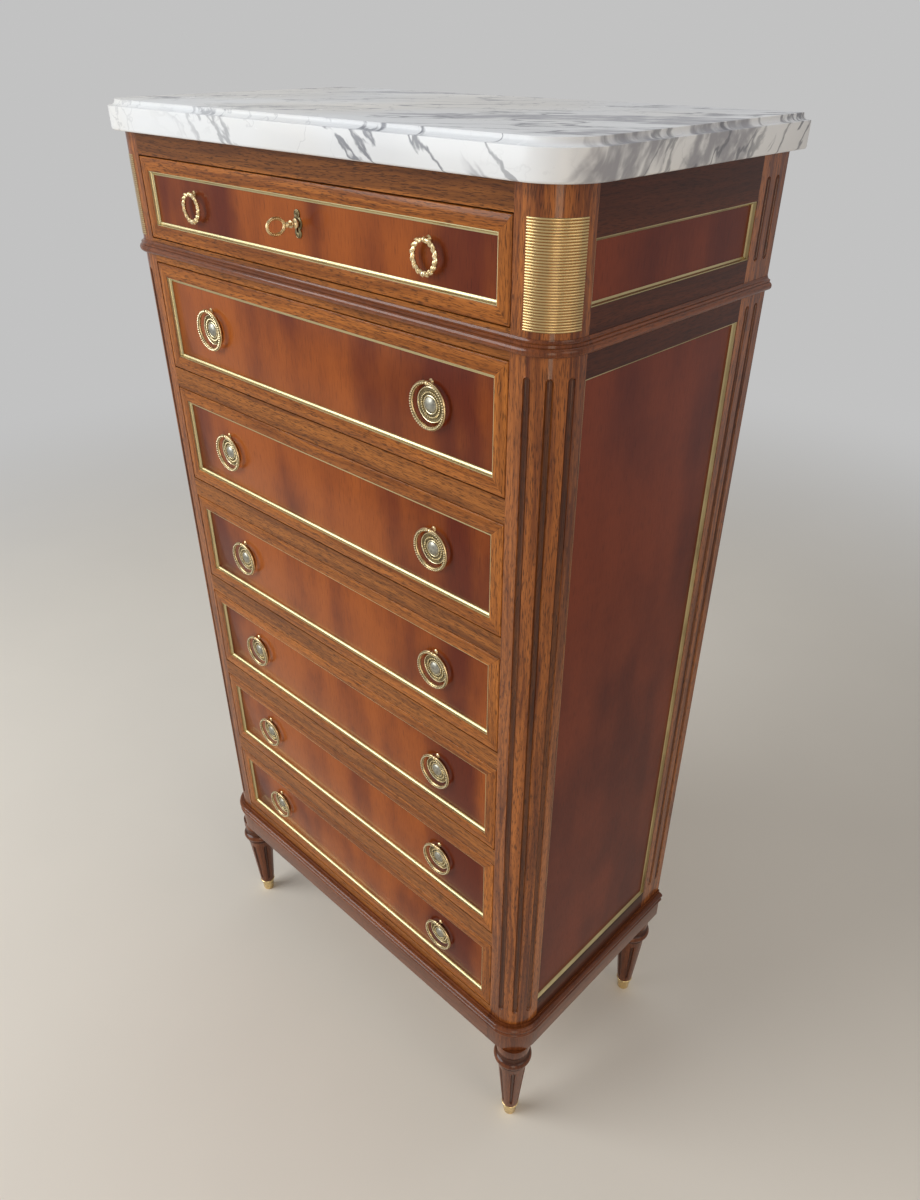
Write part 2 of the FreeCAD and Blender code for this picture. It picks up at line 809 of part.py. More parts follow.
def ribbed_plate():
    """A thin plate rolled to the post's round. Its fine ribs are left to the finish."""
    low = frieze_bottom + dims.plate_margin
    height = dims.frieze_opening - 2 * dims.plate_margin
    outer = rod("plate_outer", dims.corner_radius + dims.plate_relief, height, post_axis_x,
                post_axis_y, low, angle=dims.plate_angle)
    turn(outer, V(0, 0, 1), post_facing - float(dims.plate_angle) / 2)
    core = rod("plate_core", dims.corner_radius - dims.plate_inset, height, post_axis_x,
               post_axis_y, low)
    return without("ribbed_plate", outer, core)


node("ribbed_plates", *both_sides([ribbed_plate()]))


# ---------------------------------------------------------------------------------------------
# Rails, runners and boards
# ---------------------------------------------------------------------------------------------
def front_rails():
    """The rails between the posts, with the mortise that takes the lock's bolt."""
    levels = [(plinth_top, first_opening)]
    for drawer in DRAWERS:
        low = opening_bottom(drawer) + opening_height(drawer)
        high = case_top if drawer == 1 else opening_bottom(drawer - 1)
        levels.append((low, high))
    rails = []
    for number, (low, high) in enumerate(levels):
        rails.append(box(
            f"front_rail_{number}", (-opening_half, front, low),
            (opening_half, front + dims.rail_depth, high),
        ))
    play = dims.mortise_play
    mortise_half = dims.bolt_width / 2 + play
    top = opening_bottom(1) + opening_height(1)
    mortise = box(
        "bolt_mortise", (-mortise_half, bolt_front - play, top),
        (mortise_half, bolt_front + dims.bolt_thickness + play,
         top + dims.bolt_throw + dims.mortise_room),
    )
    rails[1] = without("top_front_rail", rails[1], mortise)
    return rails


def runner(drawer):
    """The right-hand runner of a drawer, the guide beside it and the stop at its rear end."""
    top = opening_bottom(drawer)
    ledge = opening_half - dims.runner_ledge
    start = front + dims.rail_depth
    bar = box(
        f"runner_{drawer}", (ledge, start, top - dims.runner_thickness),
        (inner_half, back_panel_front, top),
    )
    guide = box(
        f"guide_{drawer}", (opening_half, start, top),
        (inner_half, back_panel_front, top + dims.guide_height),
    )
    stop = box(
        f"stop_{drawer}", (ledge, back_panel_front - dims.stop_length, top),
        (opening_half, back_panel_front, top + dims.guide_height),
    )
    return [bar, guide, stop]


def carcass_boards():
    """Sub-top under the marble, bottom board inside the plinth, and back panel."""
    tenon = dims.back_rebate - dims.groove_play
    sub_top = box(
        "sub_top", (-inner_half, front + dims.rail_depth, case_top - dims.board_thickness),
        (inner_half, back_panel_front, case_top),
    )
    blank = box(
        "bottom_blank",
        (-plinth_inner, front - dims.plinth_reach + dims.plinth_thickness,
         plinth_top - dims.board_thickness),
        (plinth_inner, back - dims.plinth_thickness, plinth_top),
    )
    notch = box(
        "bottom_notch", (opening_half, front, plinth_top - dims.board_thickness),
        (half_width, front + post_side, plinth_top),
    )
    bottom = without("bottom_board", blank, fused("bottom_notches", both_sides([notch])))
    back_panel = box(
        "back_panel", (-inner_half - tenon, back_panel_front, plinth_top),
        (inner_half + tenon, back, case_top),
    )
    return [sub_top, bottom, back_panel]


# The bolt stands in the middle of the lock, behind the top drawer's front board.
bolt_front = box_front + dims.lock_depth / 2 - dims.bolt_thickness / 2

node("front_rails", *front_rails())
node("drawer_runners", *both_sides([piece for drawer in DRAWERS for piece in runner(drawer)]))
node("carcass_boards", *carcass_boards())


# ---------------------------------------------------------------------------------------------
# Girdle moulding and plinth
# ---------------------------------------------------------------------------------------------
def girdle_section(origin, sign=1):
    """(distance out of the face, height): torus below, fillet and splay above."""
    reach = dims.girdle_reach
    torus_top = girdle_bottom + 2 * dims.girdle_torus
    fillet_top = torus_top + dims.girdle_fillet_height
    cove = girdle_top - fillet_top
    outline = [
        (Size(0), girdle_bottom),
        *bead(reach, girdle_bottom, dims.girdle_torus),
        (dims.girdle_fillet, torus_top),
        (dims.girdle_fillet, fillet_top),
        (dims.girdle_fillet - cove, girdle_top),
        (Size(0), girdle_top),
    ]
    return placed_section(outline, origin, sign)


def plinth_section(origin, sign=1):
    """(distance out of the case's face, height): plain board with two beads along its top."""
    depth = dims.plinth_thickness - dims.plinth_reach
    lower = dims.foot_height + dims.plinth_face
    lower_top = lower + 2 * dims.lower_bead
    upper = lower_top + dims.bead_fillet
    upper_top = upper + 2 * dims.upper_bead
    reach = dims.plinth_reach
    outline = [
        (-depth, dims.foot_height),
        (reach, dims.foot_height),
        *bead(reach, lower, dims.lower_bead),
        (reach - dims.upper_bead_set, lower_top),
        *bead(reach - dims.upper_bead_set, upper, dims.upper_bead),
        (reach - dims.plinth_top_set, upper_top),
        (reach - dims.plinth_top_set, plinth_top),
        (-depth, plinth_top),
    ]
    return placed_section(outline, origin, sign)


def placed_section(outline, origin, sign):
    """Moves a section so that its case face is at origin, looking along sign."""
    return [(origin + reach * sign, height) for reach, height in outline]


def run_round(name, section):
    """A moulding round the case: a front run, two round corners and two side runs."""
    front_run = padded(name + "_front", "YZ_Plane", section(front, -1), opening_half * 2, -opening_half)
    side_run = padded(
        name + "_side", "XZ_Plane", section(half_width),
        dims.case_depth - post_side, -back,
    )
    round_piece = turned(
        name + "_round", section(dims.corner_radius), post_axis_x, post_axis_y, 90, -90
    )
    front_piece = padded(
        name + "_corner_front", "YZ_Plane", section(front, -1),
        dims.post_front_flat, opening_half,
    )
    side_piece = padded(
        name + "_corner_side", "XZ_Plane", section(half_width),
        dims.post_side_flat, -(front + post_side),
    )
    corner = fused(name + "_corner", [round_piece, front_piece, side_piece])
    return front_run, side_run, corner


def girdle_moulding():
    front_run, side_run, corner = run_round("girdle", girdle_section)
    return [front_run] + both_sides([side_run, corner])


def plinth():
    """Three moulded rails, solid corner blocks bored for the feet, and a plain rear rail."""
    front_run, side_run, rounded = run_round("plinth", plinth_section)
    block = padded(
        "plinth_block", "XY_Plane", corner_outline(Size(0)), dims.plinth_height, dims.foot_height
    )
    solid = fused("plinth_solid_corner", [rounded, block])
    corner = without("plinth_corner", solid, foot_socket("front"))
    side = without("plinth_side_rail", side_run, foot_socket("rear"))
    rear_rail = box(
        "plinth_rear_rail", (-plinth_inner, back - dims.plinth_thickness, dims.foot_height),
        (plinth_inner, back, plinth_top),
    )
    rear_block = box(
        "plinth_rear_block",
        (plinth_inner - dims.stile_width, back - dims.plinth_thickness - dims.stile_width,
         dims.foot_height),
        (plinth_inner, back - dims.plinth_thickness, plinth_top - dims.board_thickness),
    )
    rear_block = without("plinth_bored_block", rear_block, foot_socket("rear"))
    bored_rail = without("plinth_bored_rail", rear_rail, fused(
        "rear_sockets", both_sides([foot_socket("rear")])))
    return [front_run, bored_rail] + both_sides([corner, side, rear_block])


FOOT_Y = {"front": front + dims.foot_inset, "rear": back - dims.rear_foot_inset}
foot_x = half_width - dims.foot_inset


def foot_socket(end):
    return turned_flats(f"{end}_foot_socket", [
        (dims.foot_tenon, dims.foot_height),
        (dims.foot_tenon, dims.foot_height + dims.foot_tenon_length),
    ], foot_x, FOOT_Y[end])


node("girdle_moulding", *girdle_moulding())
node("plinth", *plinth())


# ---------------------------------------------------------------------------------------------
# Feet and their brass sabots
# ---------------------------------------------------------------------------------------------
shaft_head = (
    dims.foot_height - dims.drum_height - dims.throat_height - 2 * dims.collar_bead
    - dims.neck_length - 2 * dims.small_ring
)


def foot(end):
    """A turned and fluted foot with a pin at each end. Drum, throat, collar and ring over a taper."""
    drum_low = dims.foot_height - dims.drum_height
    collar_top = drum_low - dims.throat_height
    collar_low = collar_top - 2 * dims.collar_bead
    outline = [
        (dims.sabot_tenon, dims.sabot_height / 2),
        (dims.sabot_tenon, dims.sabot_height),
        (dims.shaft_bottom, dims.sabot_height),
        (dims.shaft_top, shaft_head),
        (dims.small_ring_radius, shaft_head + dims.small_ring),
        (dims.neck_radius, collar_low - dims.neck_length),
        (dims.neck_radius, collar_low),
        (dims.collar_radius, collar_low + dims.collar_bead),
        (dims.throat_radius, collar_top),
        (dims.throat_radius, drum_low - dims.throat_splay),
        (dims.drum_radius, drum_low),
        (dims.drum_radius, dims.foot_height),
        (dims.foot_tenon, dims.foot_height),
        (dims.foot_tenon, dims.foot_height + dims.foot_tenon_length),
    ]
    stem = turned_flats(f"{end}_foot_stem", outline, foot_x, FOOT_Y[end])
    tools = [foot_gouge(end, number) for number in range(FOOT_FLUTES)]
    return without(f"{end}_foot", stem, fused(f"{end}_foot_flutes", tools))


def foot_gouge(end, number):
    """The tool of one flute: it follows the taper, in the middle of one of its flats."""
    middle = math.radians(360 / FOOT_FLUTES * number - 45)
    apothem = math.cos(math.pi / TURNED_SIDES)
    low = float(dims.sabot_height + dims.foot_flute_foot)
    high = float(shaft_head - dims.foot_flute_head)
    levels = []
    for height in (low, high):
        share = (height - float(dims.sabot_height)) / float(shaft_head - dims.sabot_height)
        radius = float(dims.shaft_bottom) * (1 - share) + float(dims.shaft_top) * share
        reach = radius * apothem
        centre = V(reach * math.cos(middle), reach * math.sin(middle), height)
        levels.append(polygon(GOUGE_SIDES, radius * float(dims.foot_flute_share), centre))
    return shaped(f"{end}_foot_gouge_{number}", stacked(levels), foot_x, FOOT_Y[end])


def sabot(end):
    """A brass cup on the end of a foot."""
    rim_low = dims.sabot_height - dims.sabot_rim_height
    splay = dims.sabot_rim_splay
    blank = turned_flats(f"{end}_sabot_blank", [
        (dims.sabot_bottom, 0),
        (dims.sabot_top, rim_low - splay),
        (dims.sabot_rim, rim_low),
        (dims.sabot_rim, dims.sabot_height - splay),
        (dims.sabot_rim - splay, dims.sabot_height),
    ], foot_x, FOOT_Y[end])
    room = turned_flats(f"{end}_sabot_room", [
        (dims.sabot_tenon, dims.sabot_height / 2),
        (dims.sabot_tenon, dims.sabot_height),
    ], foot_x, FOOT_Y[end])
    return without(f"{end}_sabot", blank, room)


node("feet", *both_sides([foot(end) for end in FOOT_Y]))
node("sabots", *both_sides([sabot(end) for end in FOOT_Y]))


# ---------------------------------------------------------------------------------------------
# Drawers
# ---------------------------------------------------------------------------------------------
key_height = opening_bottom(1) + dims.frieze_opening / 2 + dims.key_rise


def drawer_front(drawer):
    """A veneered board with four mitred frame strips in front of it. Returns board, strips, trims."""
    low = opening_bottom(drawer) + dims.lower_gap
    high = opening_bottom(drawer) + opening_height(drawer) - dims.upper_gap
    half = opening_half - dims.side_gap
    board = box(f"board_{drawer}", (-half, board_face, low), (half, box_front, high))
    if drawer == 1:
        board = without("bored_board_1", board, keyhole("board_keyhole", board_face, dims.front_board))
    frame = float(dims.frieze_frame_width if drawer == 1 else dims.frame_width)
    relief = float(dims.frame_relief)
    arris = float(dims.frame_arris)
    frame_section = [(0, relief), (0, arris), (arris, 0), (frame, 0), (frame, relief)]
    trim_section = brass_section(frame, dims.trim_width, relief)
    width = float(half) * 2
    height = float(high - low)
    middle = (low + high) / 2
    strips = shaped(f"frame_{drawer}", mitred_frame(width, height, frame_section), 0, front, middle)
    trims = shaped(f"trim_{drawer}", mitred_frame(width, height, trim_section), 0, front, middle)
    return board, strips, trims


def keyhole(name, face, depth):
    """A round hole with a slot under it for the bit, starting at a face and running inwards."""
    radius = dims.key_shank + dims.keyhole_play
    reach = dims.bit_drop + dims.keyhole_play
    half_slot = dims.bit_width / 2 + dims.keyhole_play
    round_part = rod(name + "_round", radius, depth, 0, face + depth, key_height, along="-Y")
    slot = box(
        name + "_slot", (-half_slot, face, key_height - reach), (half_slot, face + depth, key_height)
    )
    return fused(name, [round_part, slot])


def drawer_box(drawer):
    """Two sides, a back and a bottom let into them."""
    low = opening_bottom(drawer) + dims.slide_gap
    high = opening_bottom(drawer) + opening_height(drawer) - dims.box_head_room
    half = opening_half - dims.side_gap
    rear = box_rear
    inner = half - dims.box_side
    bottom_low = low + dims.box_bottom_rise
    bottom_high = bottom_low + dims.box_bottom
    groove = dims.box_side / 2
    bottom = box(
        f"box_bottom_{drawer}", (-inner - groove, box_front, bottom_low),
        (inner + groove, rear, bottom_high),
    )
    sides = []
    for side, sign in SIDES.items():
        edges = [inner * sign, half * sign]
        if sign < 0:
            edges.reverse()
        blank = box(f"box_{side}_blank_{drawer}", (edges[0], box_front, low), (edges[1], rear, high))
        sides.append(without(f"box_{side}_{drawer}", blank, bottom))
    rear_board = box(
        f"box_back_{drawer}", (-inner, rear - dims.box_back, bottom_high), (inner, rear, high)
    )
    return sides + [rear_board, bottom]


def pull_centre(drawer):
    middle = opening_bottom(drawer) + opening_height(drawer) / 2
    return middle - dims.frieze_pull_drop if drawer == 1 else middle + dims.pull_rise


def ring_radii(drawer):
    if drawer == 1:
        return dims.frieze_ring_outer, dims.frieze_ring_outer - dims.frieze_ring_band
    return dims.ring_outer, dims.ring_outer - dims.ring_band


def pin_rise(drawer):
    """The pin over the ring's centre: on the middle of the ring's band, across the gap at its top."""
    outer, inner = ring_radii(drawer)
    middle = (outer + inner) / 2
    rise = math.sqrt(middle.value**2 - dims.ring_gap.value**2) / middle.value
    return middle * rise


def pin_height(drawer):
    return pull_centre(drawer) + pin_rise(drawer)


def pull_mounts(drawer):
    """The post of each pull, bored across for the ring's pin, and the rosettes of the lower drawers."""
    pieces = []
    for side, sign in SIDES.items():
        tag = f"{drawer}_{side}"
        x = dims.pull_offset * sign
        height = pin_height(drawer)
        length = dims.ring_stand + dims.post_nose
        stem = prism(
            "post_stem_" + tag, PIN_SIDES, dims.pull_post, length, x, board_face, height
        )
        eye = cross_pin(
            "post_eye_" + tag, (dims.ring_pin + dims.pin_play) / cosine(180 / PIN_SIDES),
            2 * dims.pull_post, x, height,
        )
        pieces.append(without("pull_post_" + tag, stem, eye))
        if drawer > 1:
            pieces.append(rosette(tag, x, pull_centre(drawer)))
    return pieces


def cross_pin(name, radius, reach, x, z):
    """The pin of a ring, or its eye: it runs along X, reach to each side of the post."""
    item = doc.addObject("Part::Prism", name)
    item.Polygon = PIN_SIDES
    bind(item, Circumradius=radius, Height=reach * 2)
    turn(item, V(0, 1, 0), 90)
    return place(item, x - reach, board_face - dims.ring_stand, z)


def rosette(tag, x, z):
    """A round backplate: rim, beaded step and dome."""
    radius = pin_rise(2) - dims.pull_post - dims.rosette_gap
    step_face = board_face - dims.rosette_plate
    dome_face = step_face - dims.rosette_step_height
    tiers = [
        ("rim", radius, dims.rosette_plate, board_face),
        ("step", radius - dims.rosette_rim, dims.rosette_step_height, step_face),
        ("dome", dims.dome_radius, dims.dome_height, dome_face),
    ]
    return fused("rosette_" + tag, [
        prism(f"rosette_{tier}_{tag}", TURNED_SIDES, radius, height, x, face, z)
        for tier, radius, height, face in tiers
    ])


def ring(drawer, side):
    """A ring cut open at its top, where a straight pin crosses the gap through the post."""
    tag = f"{drawer}_{side}"
    outer, inner = ring_radii(drawer)
    x = dims.pull_offset * SIDES[side]
    z = pull_centre(drawer)
    rear = board_face - dims.ring_stand + dims.ring_thickness / 2
    band = without(
        "band_" + tag,
        prism("band_outer_" + tag, RING_SIDES, outer, dims.ring_thickness, x, rear, z),
        prism("band_inner_" + tag, RING_SIDES, inner, dims.ring_thickness, x, rear, z),
    )
    gap = box(
        "gap_" + tag, (x - dims.ring_gap, rear - dims.ring_thickness, z),
        (x + dims.ring_gap, rear, z + outer),
    )
    open_band = without("open_band_" + tag, band, gap)
    reach = dims.ring_gap + dims.pin_hold
    pin = cross_pin("pin_" + tag, dims.ring_pin, reach, x, pin_height(drawer))
    return fused("ring_" + tag, [open_band, pin])


for drawer in DRAWERS:
    board, strips, trims = drawer_front(drawer)
    node(f"drawer_{drawer}_front", board, strips)
    node(f"drawer_{drawer}_trim", trims)
    node(f"drawer_{drawer}_box", *drawer_box(drawer))
    node(f"drawer_{drawer}_pull_mounts", *pull_mounts(drawer))
    for side in SIDES:
        node(f"drawer_{drawer}_ring_{side}", ring(drawer, side))


# ---------------------------------------------------------------------------------------------
# Lock, escutcheon and key of the top drawer
# ---------------------------------------------------------------------------------------------
def escutcheon():
    """A small upright plate with a lobe above and below the keyhole."""
    thickness = dims.plate_thickness
    lobes = [
        ("middle", dims.plate_middle_lobe, 0),
        ("upper", dims.plate_upper_lobe, dims.plate_upper_rise),
        ("lower", dims.plate_lower_lobe, -dims.plate_lower_drop),
    ]
    discs = [
        prism(f"lobe_{name}", TURNED_SIDES, radius, thickness, 0, board_face, key_height + rise)
        for name, radius, rise in lobes
    ]
    plate = fused("lobes", discs)
    return without("keyed_plate", plate, keyhole("plate_keyhole", board_face - thickness, thickness))


def lock_case():
    """A pressed box on the inside of the front, open towards it, with a slot for the bolt on top."""
    wall = dims.lock_wall
    half = dims.lock_width / 2
    top = opening_bottom(1) + dims.frieze_opening - dims.upper_gap
    low = top - dims.lock_height
    rear = box_front + dims.lock_depth
    shell = box("lock_shell", (-half, box_front, low), (half, rear, top))
    room = box(
        "lock_room", (-half + wall, box_front, low + wall), (half - wall, rear - wall, top - wall)
    )
    slot_half = dims.bolt_width / 2 + dims.bolt_play
    slot = box(
        "bolt_slot", (-slot_half, bolt_front - dims.bolt_play, top - wall),
        (slot_half, bolt_front + dims.bolt_thickness + dims.bolt_play, top),
    )
    return without("lock_case_box", shell, fused("lock_cuts", [room, slot]))


def lock_bolt():
    """The bolt, drawn down flush with the front's top edge."""
    top = opening_bottom(1) + dims.frieze_opening - dims.upper_gap
    half = dims.bolt_width / 2
    return box(
        "bolt", (-half, bolt_front, key_height + dims.bit_drop + dims.bolt_clear),
        (half, bolt_front + dims.bolt_thickness, top),
    )


def oval_ring(length, height, band, thickness):
    """An oval ring in the upright YZ plane, drawn with flats, with its middle at the origin."""

    def oval(inset):
        turns = [2 * math.pi * side / RING_SIDES for side in range(RING_SIDES)]
        points = [
            V(-thickness / 2, (length / 2 - inset) * math.cos(a), (height / 2 - inset) * math.sin(a))
            for a in turns
        ]
        return Part.Face(Part.makePolygon(points + points[:1]))

    return oval(0).cut(oval(band)).extrude(V(thickness, 0, 0))


def key():
    """Oval bow, turned collar, shank and bit. The bow lies in the upright plane of the shank."""
    oval = oval_ring(
        dims.bow_length.value, dims.bow_height.value, dims.bow_band.value, dims.bow_thickness.value
    )
    bow = shaped("key_bow", oval, 0, front - dims.key_reach + dims.bow_length / 2, key_height)
    bow_end = front - dims.key_reach + dims.bow_length
    shank_end = box_front + dims.lock_depth - dims.lock_wall - dims.key_end_room
    shank_start = bow_end - dims.bow_band / 2
    shank = rod(
        "key_shank_rod", dims.key_shank, shank_end - shank_start, 0, shank_end, key_height, along="-Y"
    )
    collar_end = board_face - dims.plate_thickness - dims.key_collar_gap
    collar = prism(
        "key_collar_block", TURNED_SIDES, dims.key_collar, dims.collar_length, 0, collar_end,
        key_height,
    )
    bit_end = shank_end - dims.key_end_room
    bit = box(
        "key_bit", (-dims.bit_width / 2, bit_end - dims.bit_length, key_height - dims.bit_drop),
        (dims.bit_width / 2, bit_end, key_height),
    )
    return fused("whole_key", [bow, shank, collar, bit])


node("escutcheon", escutcheon())
node("lock_case", lock_case())
node("lock_bolt", lock_bolt())
node("key", key())


# ---------------------------------------------------------------------------------------------
# Check everything, then write one file for each node
# ---------------------------------------------------------------------------------------------
doc.recompute()
for item in doc.Objects:
    if {"Invalid", "Error"} & set(item.State):
        raise RuntimeError(f"{item.Name} could not be made: {item.State}")
for item in nodes:
    if item.Shape.isNull() or not item.Shape.isValid() or not item.Shape.Solids:
        raise RuntimeError(f"{item.Label} has no sound solid")

os.makedirs("parts", exist_ok=True)
for item in nodes:
    item.Shape.exportStep(f"parts/{item.Label}.step")
    print(item.Label, len(item.Shape.Solids), "solids")
print(len(nodes), "nodes")
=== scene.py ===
"""Looks of a Louis XVI style semainier: a tall chest of seven drawers under a marble top.

Lengths are millimetres in the shared frame: +Z up, the drawers facing -Y, the floor at z = 0. Meshes, lamps
and the camera are in metres. Every new piece is a closed surface worked out from arrays.
"""

import logging
import math
from dataclasses import dataclass, replace
from enum import Enum

import bpy
import numpy as np
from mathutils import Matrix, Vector


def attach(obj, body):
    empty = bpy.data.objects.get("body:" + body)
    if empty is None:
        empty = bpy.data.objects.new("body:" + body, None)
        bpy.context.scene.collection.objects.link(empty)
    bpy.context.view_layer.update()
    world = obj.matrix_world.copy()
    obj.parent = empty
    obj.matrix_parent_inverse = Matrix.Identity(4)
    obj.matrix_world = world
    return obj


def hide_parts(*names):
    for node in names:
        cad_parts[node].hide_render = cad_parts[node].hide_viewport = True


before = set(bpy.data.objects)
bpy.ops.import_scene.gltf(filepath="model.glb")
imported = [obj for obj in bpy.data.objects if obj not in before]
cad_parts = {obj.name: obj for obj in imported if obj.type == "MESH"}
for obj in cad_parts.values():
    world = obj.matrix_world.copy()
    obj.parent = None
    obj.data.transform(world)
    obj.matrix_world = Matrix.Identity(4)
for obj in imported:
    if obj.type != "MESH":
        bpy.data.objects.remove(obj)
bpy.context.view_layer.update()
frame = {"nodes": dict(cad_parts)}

log = logging.getLogger("semainier")
METRE = 1000.0
DRAWERS = range(1, 8)
SIDES = {"left": -1.0, "right": 1.0}
CARCASS = "carcass"
NEARLY_ZERO = 1e-9
Pair = tuple[float, float]
Spot = tuple[float, float, float]
Colour = tuple[float, float, float]


# ---------------------------------------------------------------------------------------------
# Surfaces
# ---------------------------------------------------------------------------------------------
class Grain(Enum):
    """Which way the grain runs, as the order of (along, across, through).

    PLANK takes it from the plank that each piece was sawn from. NONE is for stone and metal.
    """

    UPRIGHT = (2, 0, 1)
    LENGTHWISE = (0, 2, 1)
    FRONT_TO_BACK = (1, 2, 0)
    PLANK = "plank"
    NONE = "none"


@dataclass
class Surface:
    """Points in millimetres and the faces between them.

    Attributes:
        points: One row for each point.
        faces: Arrays of point numbers, one array for each number of corners.
        timber: Where each point lies in its plank, in metres: along, across and through.
        hollow_shade: How deep each point lies in a flute or shaded hollow, from 0 to 1, which the mahogany
            darkens as painted shade.
    """

    points: np.ndarray
    faces: list[np.ndarray]
    timber: np.ndarray | None = None
    hollow_shade: np.ndarray | None = None

    def moved(self, x: float = 0.0, y: float = 0.0, z: float = 0.0) -> "Surface":
        """The same surface at another place."""
        return replace(self, points=self.points + (x, y, z))

    def turned_over(self) -> "Surface":
        """The same surface with its normals the other way."""
        return replace(self, faces=[face[:, ::-1] for face in self.faces])

    def on_side(self, sign: float) -> "Surface":
        """The surface itself for the right side, its mirror image for the left."""
        return self if sign > 0 else replace(self, points=self.points * (-1, 1, 1)).turned_over()

    def sawn(self, grain: Grain, number: int) -> "Surface":
        """Lays the surface in a plank of its own: its points in the grain's order, moved by a drawn place.

        Args:
            grain: Which way the plank's grain runs.
            number: Picks the plank, so that two pieces never share their figure.

        Returns:
            The surface with its timber places.
        """
        place = np.random.default_rng(number).uniform(-20, 20, 3)
        return replace(self, timber=self.points[:, grain.value] / METRE + place)

    def marked_for_hollow_shade(self, depth: np.ndarray) -> "Surface":
        """Marks how deep each point lies in a flute, as a share of the deepest, for the painted shade in
        hollows.
        """
        return replace(self, hollow_shade=depth.reshape(-1) / max(float(depth.max()), NEARLY_ZERO))

    def outward(self) -> "Surface":
        """Turns the closed surface so that its normals face out.

        Its volume is the sum over its triangles of the first corner times the cross product of the others.

        Returns:
            The surface itself where the volume is positive, else turned over.
        """
        volume = 0.0
        for face in self.faces:
            corners = self.points[face]
            volume += np.einsum("ik,ijk->", corners[:, 0], np.cross(corners[:, 1:-1], corners[:, 2:]))
        return self if volume >= 0 else self.turned_over()


def joined(surfaces: list[Surface]) -> Surface:
    """Gathers the points and faces of several surfaces into one.

    Args:
        surfaces: The surfaces in order.

    Returns:
        One surface, without plank or painted hollow shade.
    """
    starts = np.cumsum([0] + [len(surface.points) for surface in surfaces])
    faces = [face + start for surface, start in zip(surfaces, starts) for face in surface.faces]
    return Surface(np.concatenate([surface.points for surface in surfaces]), faces)


def copied(template: Surface, points: np.ndarray) -> Surface:
    """Many copies of one small surface.

    Args:
        template: The surface whose faces are copied.
        points: Array of (copy, point, xyz).

    Returns:
        All copies as one surface.
    """
    starts = np.arange(len(points))[:, None, None] * points.shape[1]
    faces = [(face[None] + starts).reshape(-1, face.shape[1]) for face in template.faces]
    return Surface(points.reshape(-1, 3), faces)


def loft(loops: np.ndarray, ring: bool = False) -> Surface:
    """A closed surface through loops: each point is joined to the next one round and to the next loop's.

    Args:
        loops: Array of (loop, point, xyz). Every loop has the same number of points.
        ring: Whether the last loop joins the first. Otherwise a flat face closes each end.

    Returns:
        The surface, facing out.
    """
    rows, columns = loops.shape[:2]
    row, column = np.meshgrid(np.arange(rows if ring else rows - 1), np.arange(columns), indexing="ij")
    after, beside = (row + 1) % rows, (column + 1) % columns
    corners = ((row, column), (row, beside), (after, beside), (after, column))
    quads = np.stack([a * columns + b for a, b in corners], axis=-1).reshape(-1, 4)
    around = np.arange(columns)[None]
    ends = [] if ring else [around[:, ::-1], around + (rows - 1) * columns]
    return Surface(loops.reshape(-1, 3), [quads, *ends]).outward()


def raised(outline: np.ndarray, height: np.ndarray) -> np.ndarray:
    """Adds a height to each (x, y) of an array of (loop, point, xy)."""
    return np.concatenate([outline, np.broadcast_to(height, outline.shape[:2])[..., None]], axis=-1)


def circle(steps: int) -> np.ndarray:
    """Angles of evenly spaced points round a full turn."""
    return np.linspace(0, 2 * math.pi, steps, endpoint=False)


def round_upright(angle: np.ndarray, radius: np.ndarray | float, z: np.ndarray | float) -> np.ndarray:
    """Points round the upright axis: radius times cosine, radius times sine, height."""
    return np.stack(np.broadcast_arrays(radius * np.cos(angle), radius * np.sin(angle), z), axis=-1)


def round_facing(angle: np.ndarray, radius: np.ndarray | float, y: np.ndarray | float) -> np.ndarray:
    """Points round the front-to-back axis: radius times cosine, depth, radius times sine."""
    return np.stack(np.broadcast_arrays(radius * np.cos(angle), y, radius * np.sin(angle)), axis=-1)


def turned(outline: np.ndarray, sides: int) -> Surface:
    """A turned piece round the upright axis, from rows of (radius, height)."""
    return loft(round_upright(circle(sides), outline[:, 0:1], outline[:, 1:2]))


def facing_front(surface: Surface) -> Surface:
    """Tips an upright turned piece forward, so that its height runs along -Y."""
    x, y, z = surface.points.T
    return replace(surface, points=np.stack([x, -z, y], axis=-1))


def arc(centre: Pair, radius: float, start: float, end: float, steps: int) -> np.ndarray:
    """Points on an arc: centre plus radius times (cosine, sine).

    Args:
        centre: Centre of the arc.
        radius: Its radius.
        start: First angle in degrees, from the first axis towards the second.
        end: Last angle.
        steps: Number of steps between them.

    Returns:
        Rows of two coordinates.
    """
    angle = np.radians(np.linspace(start, end, steps + 1))
    return np.stack([centre[0] + radius * np.cos(angle), centre[1] + radius * np.sin(angle)], axis=-1)


def pearls(radius: float, centres: np.ndarray, rows: int = 5, columns: int = 8) -> Surface:
    """Small beads, light enough to be repeated hundreds of times: one coarse ball at each centre.

    Args:
        radius: Of a bead.
        centres: Rows of bead centres.
        rows: Points from pole to pole.
        columns: Points round the bead.

    Returns:
        All the beads.
    """
    flat_pole = 0.12
    tilt = np.linspace(flat_pole, math.pi - flat_pole, rows)
    bead = turned(np.stack([radius * np.sin(tilt), -radius * np.cos(tilt)], axis=-1), columns)
    return copied(bead, centres[:, None, :] + bead.points)


def wire_circle(radius: float, wire: float, steps: int = 40) -> Surface:
    """A wire bent to a full circle that faces -Y: a torus of the two radii."""
    turn, around = circle(steps)[:, None], circle(8)[None]
    return loft(round_facing(turn, radius + wire * np.cos(around), wire * np.sin(around)), ring=True)


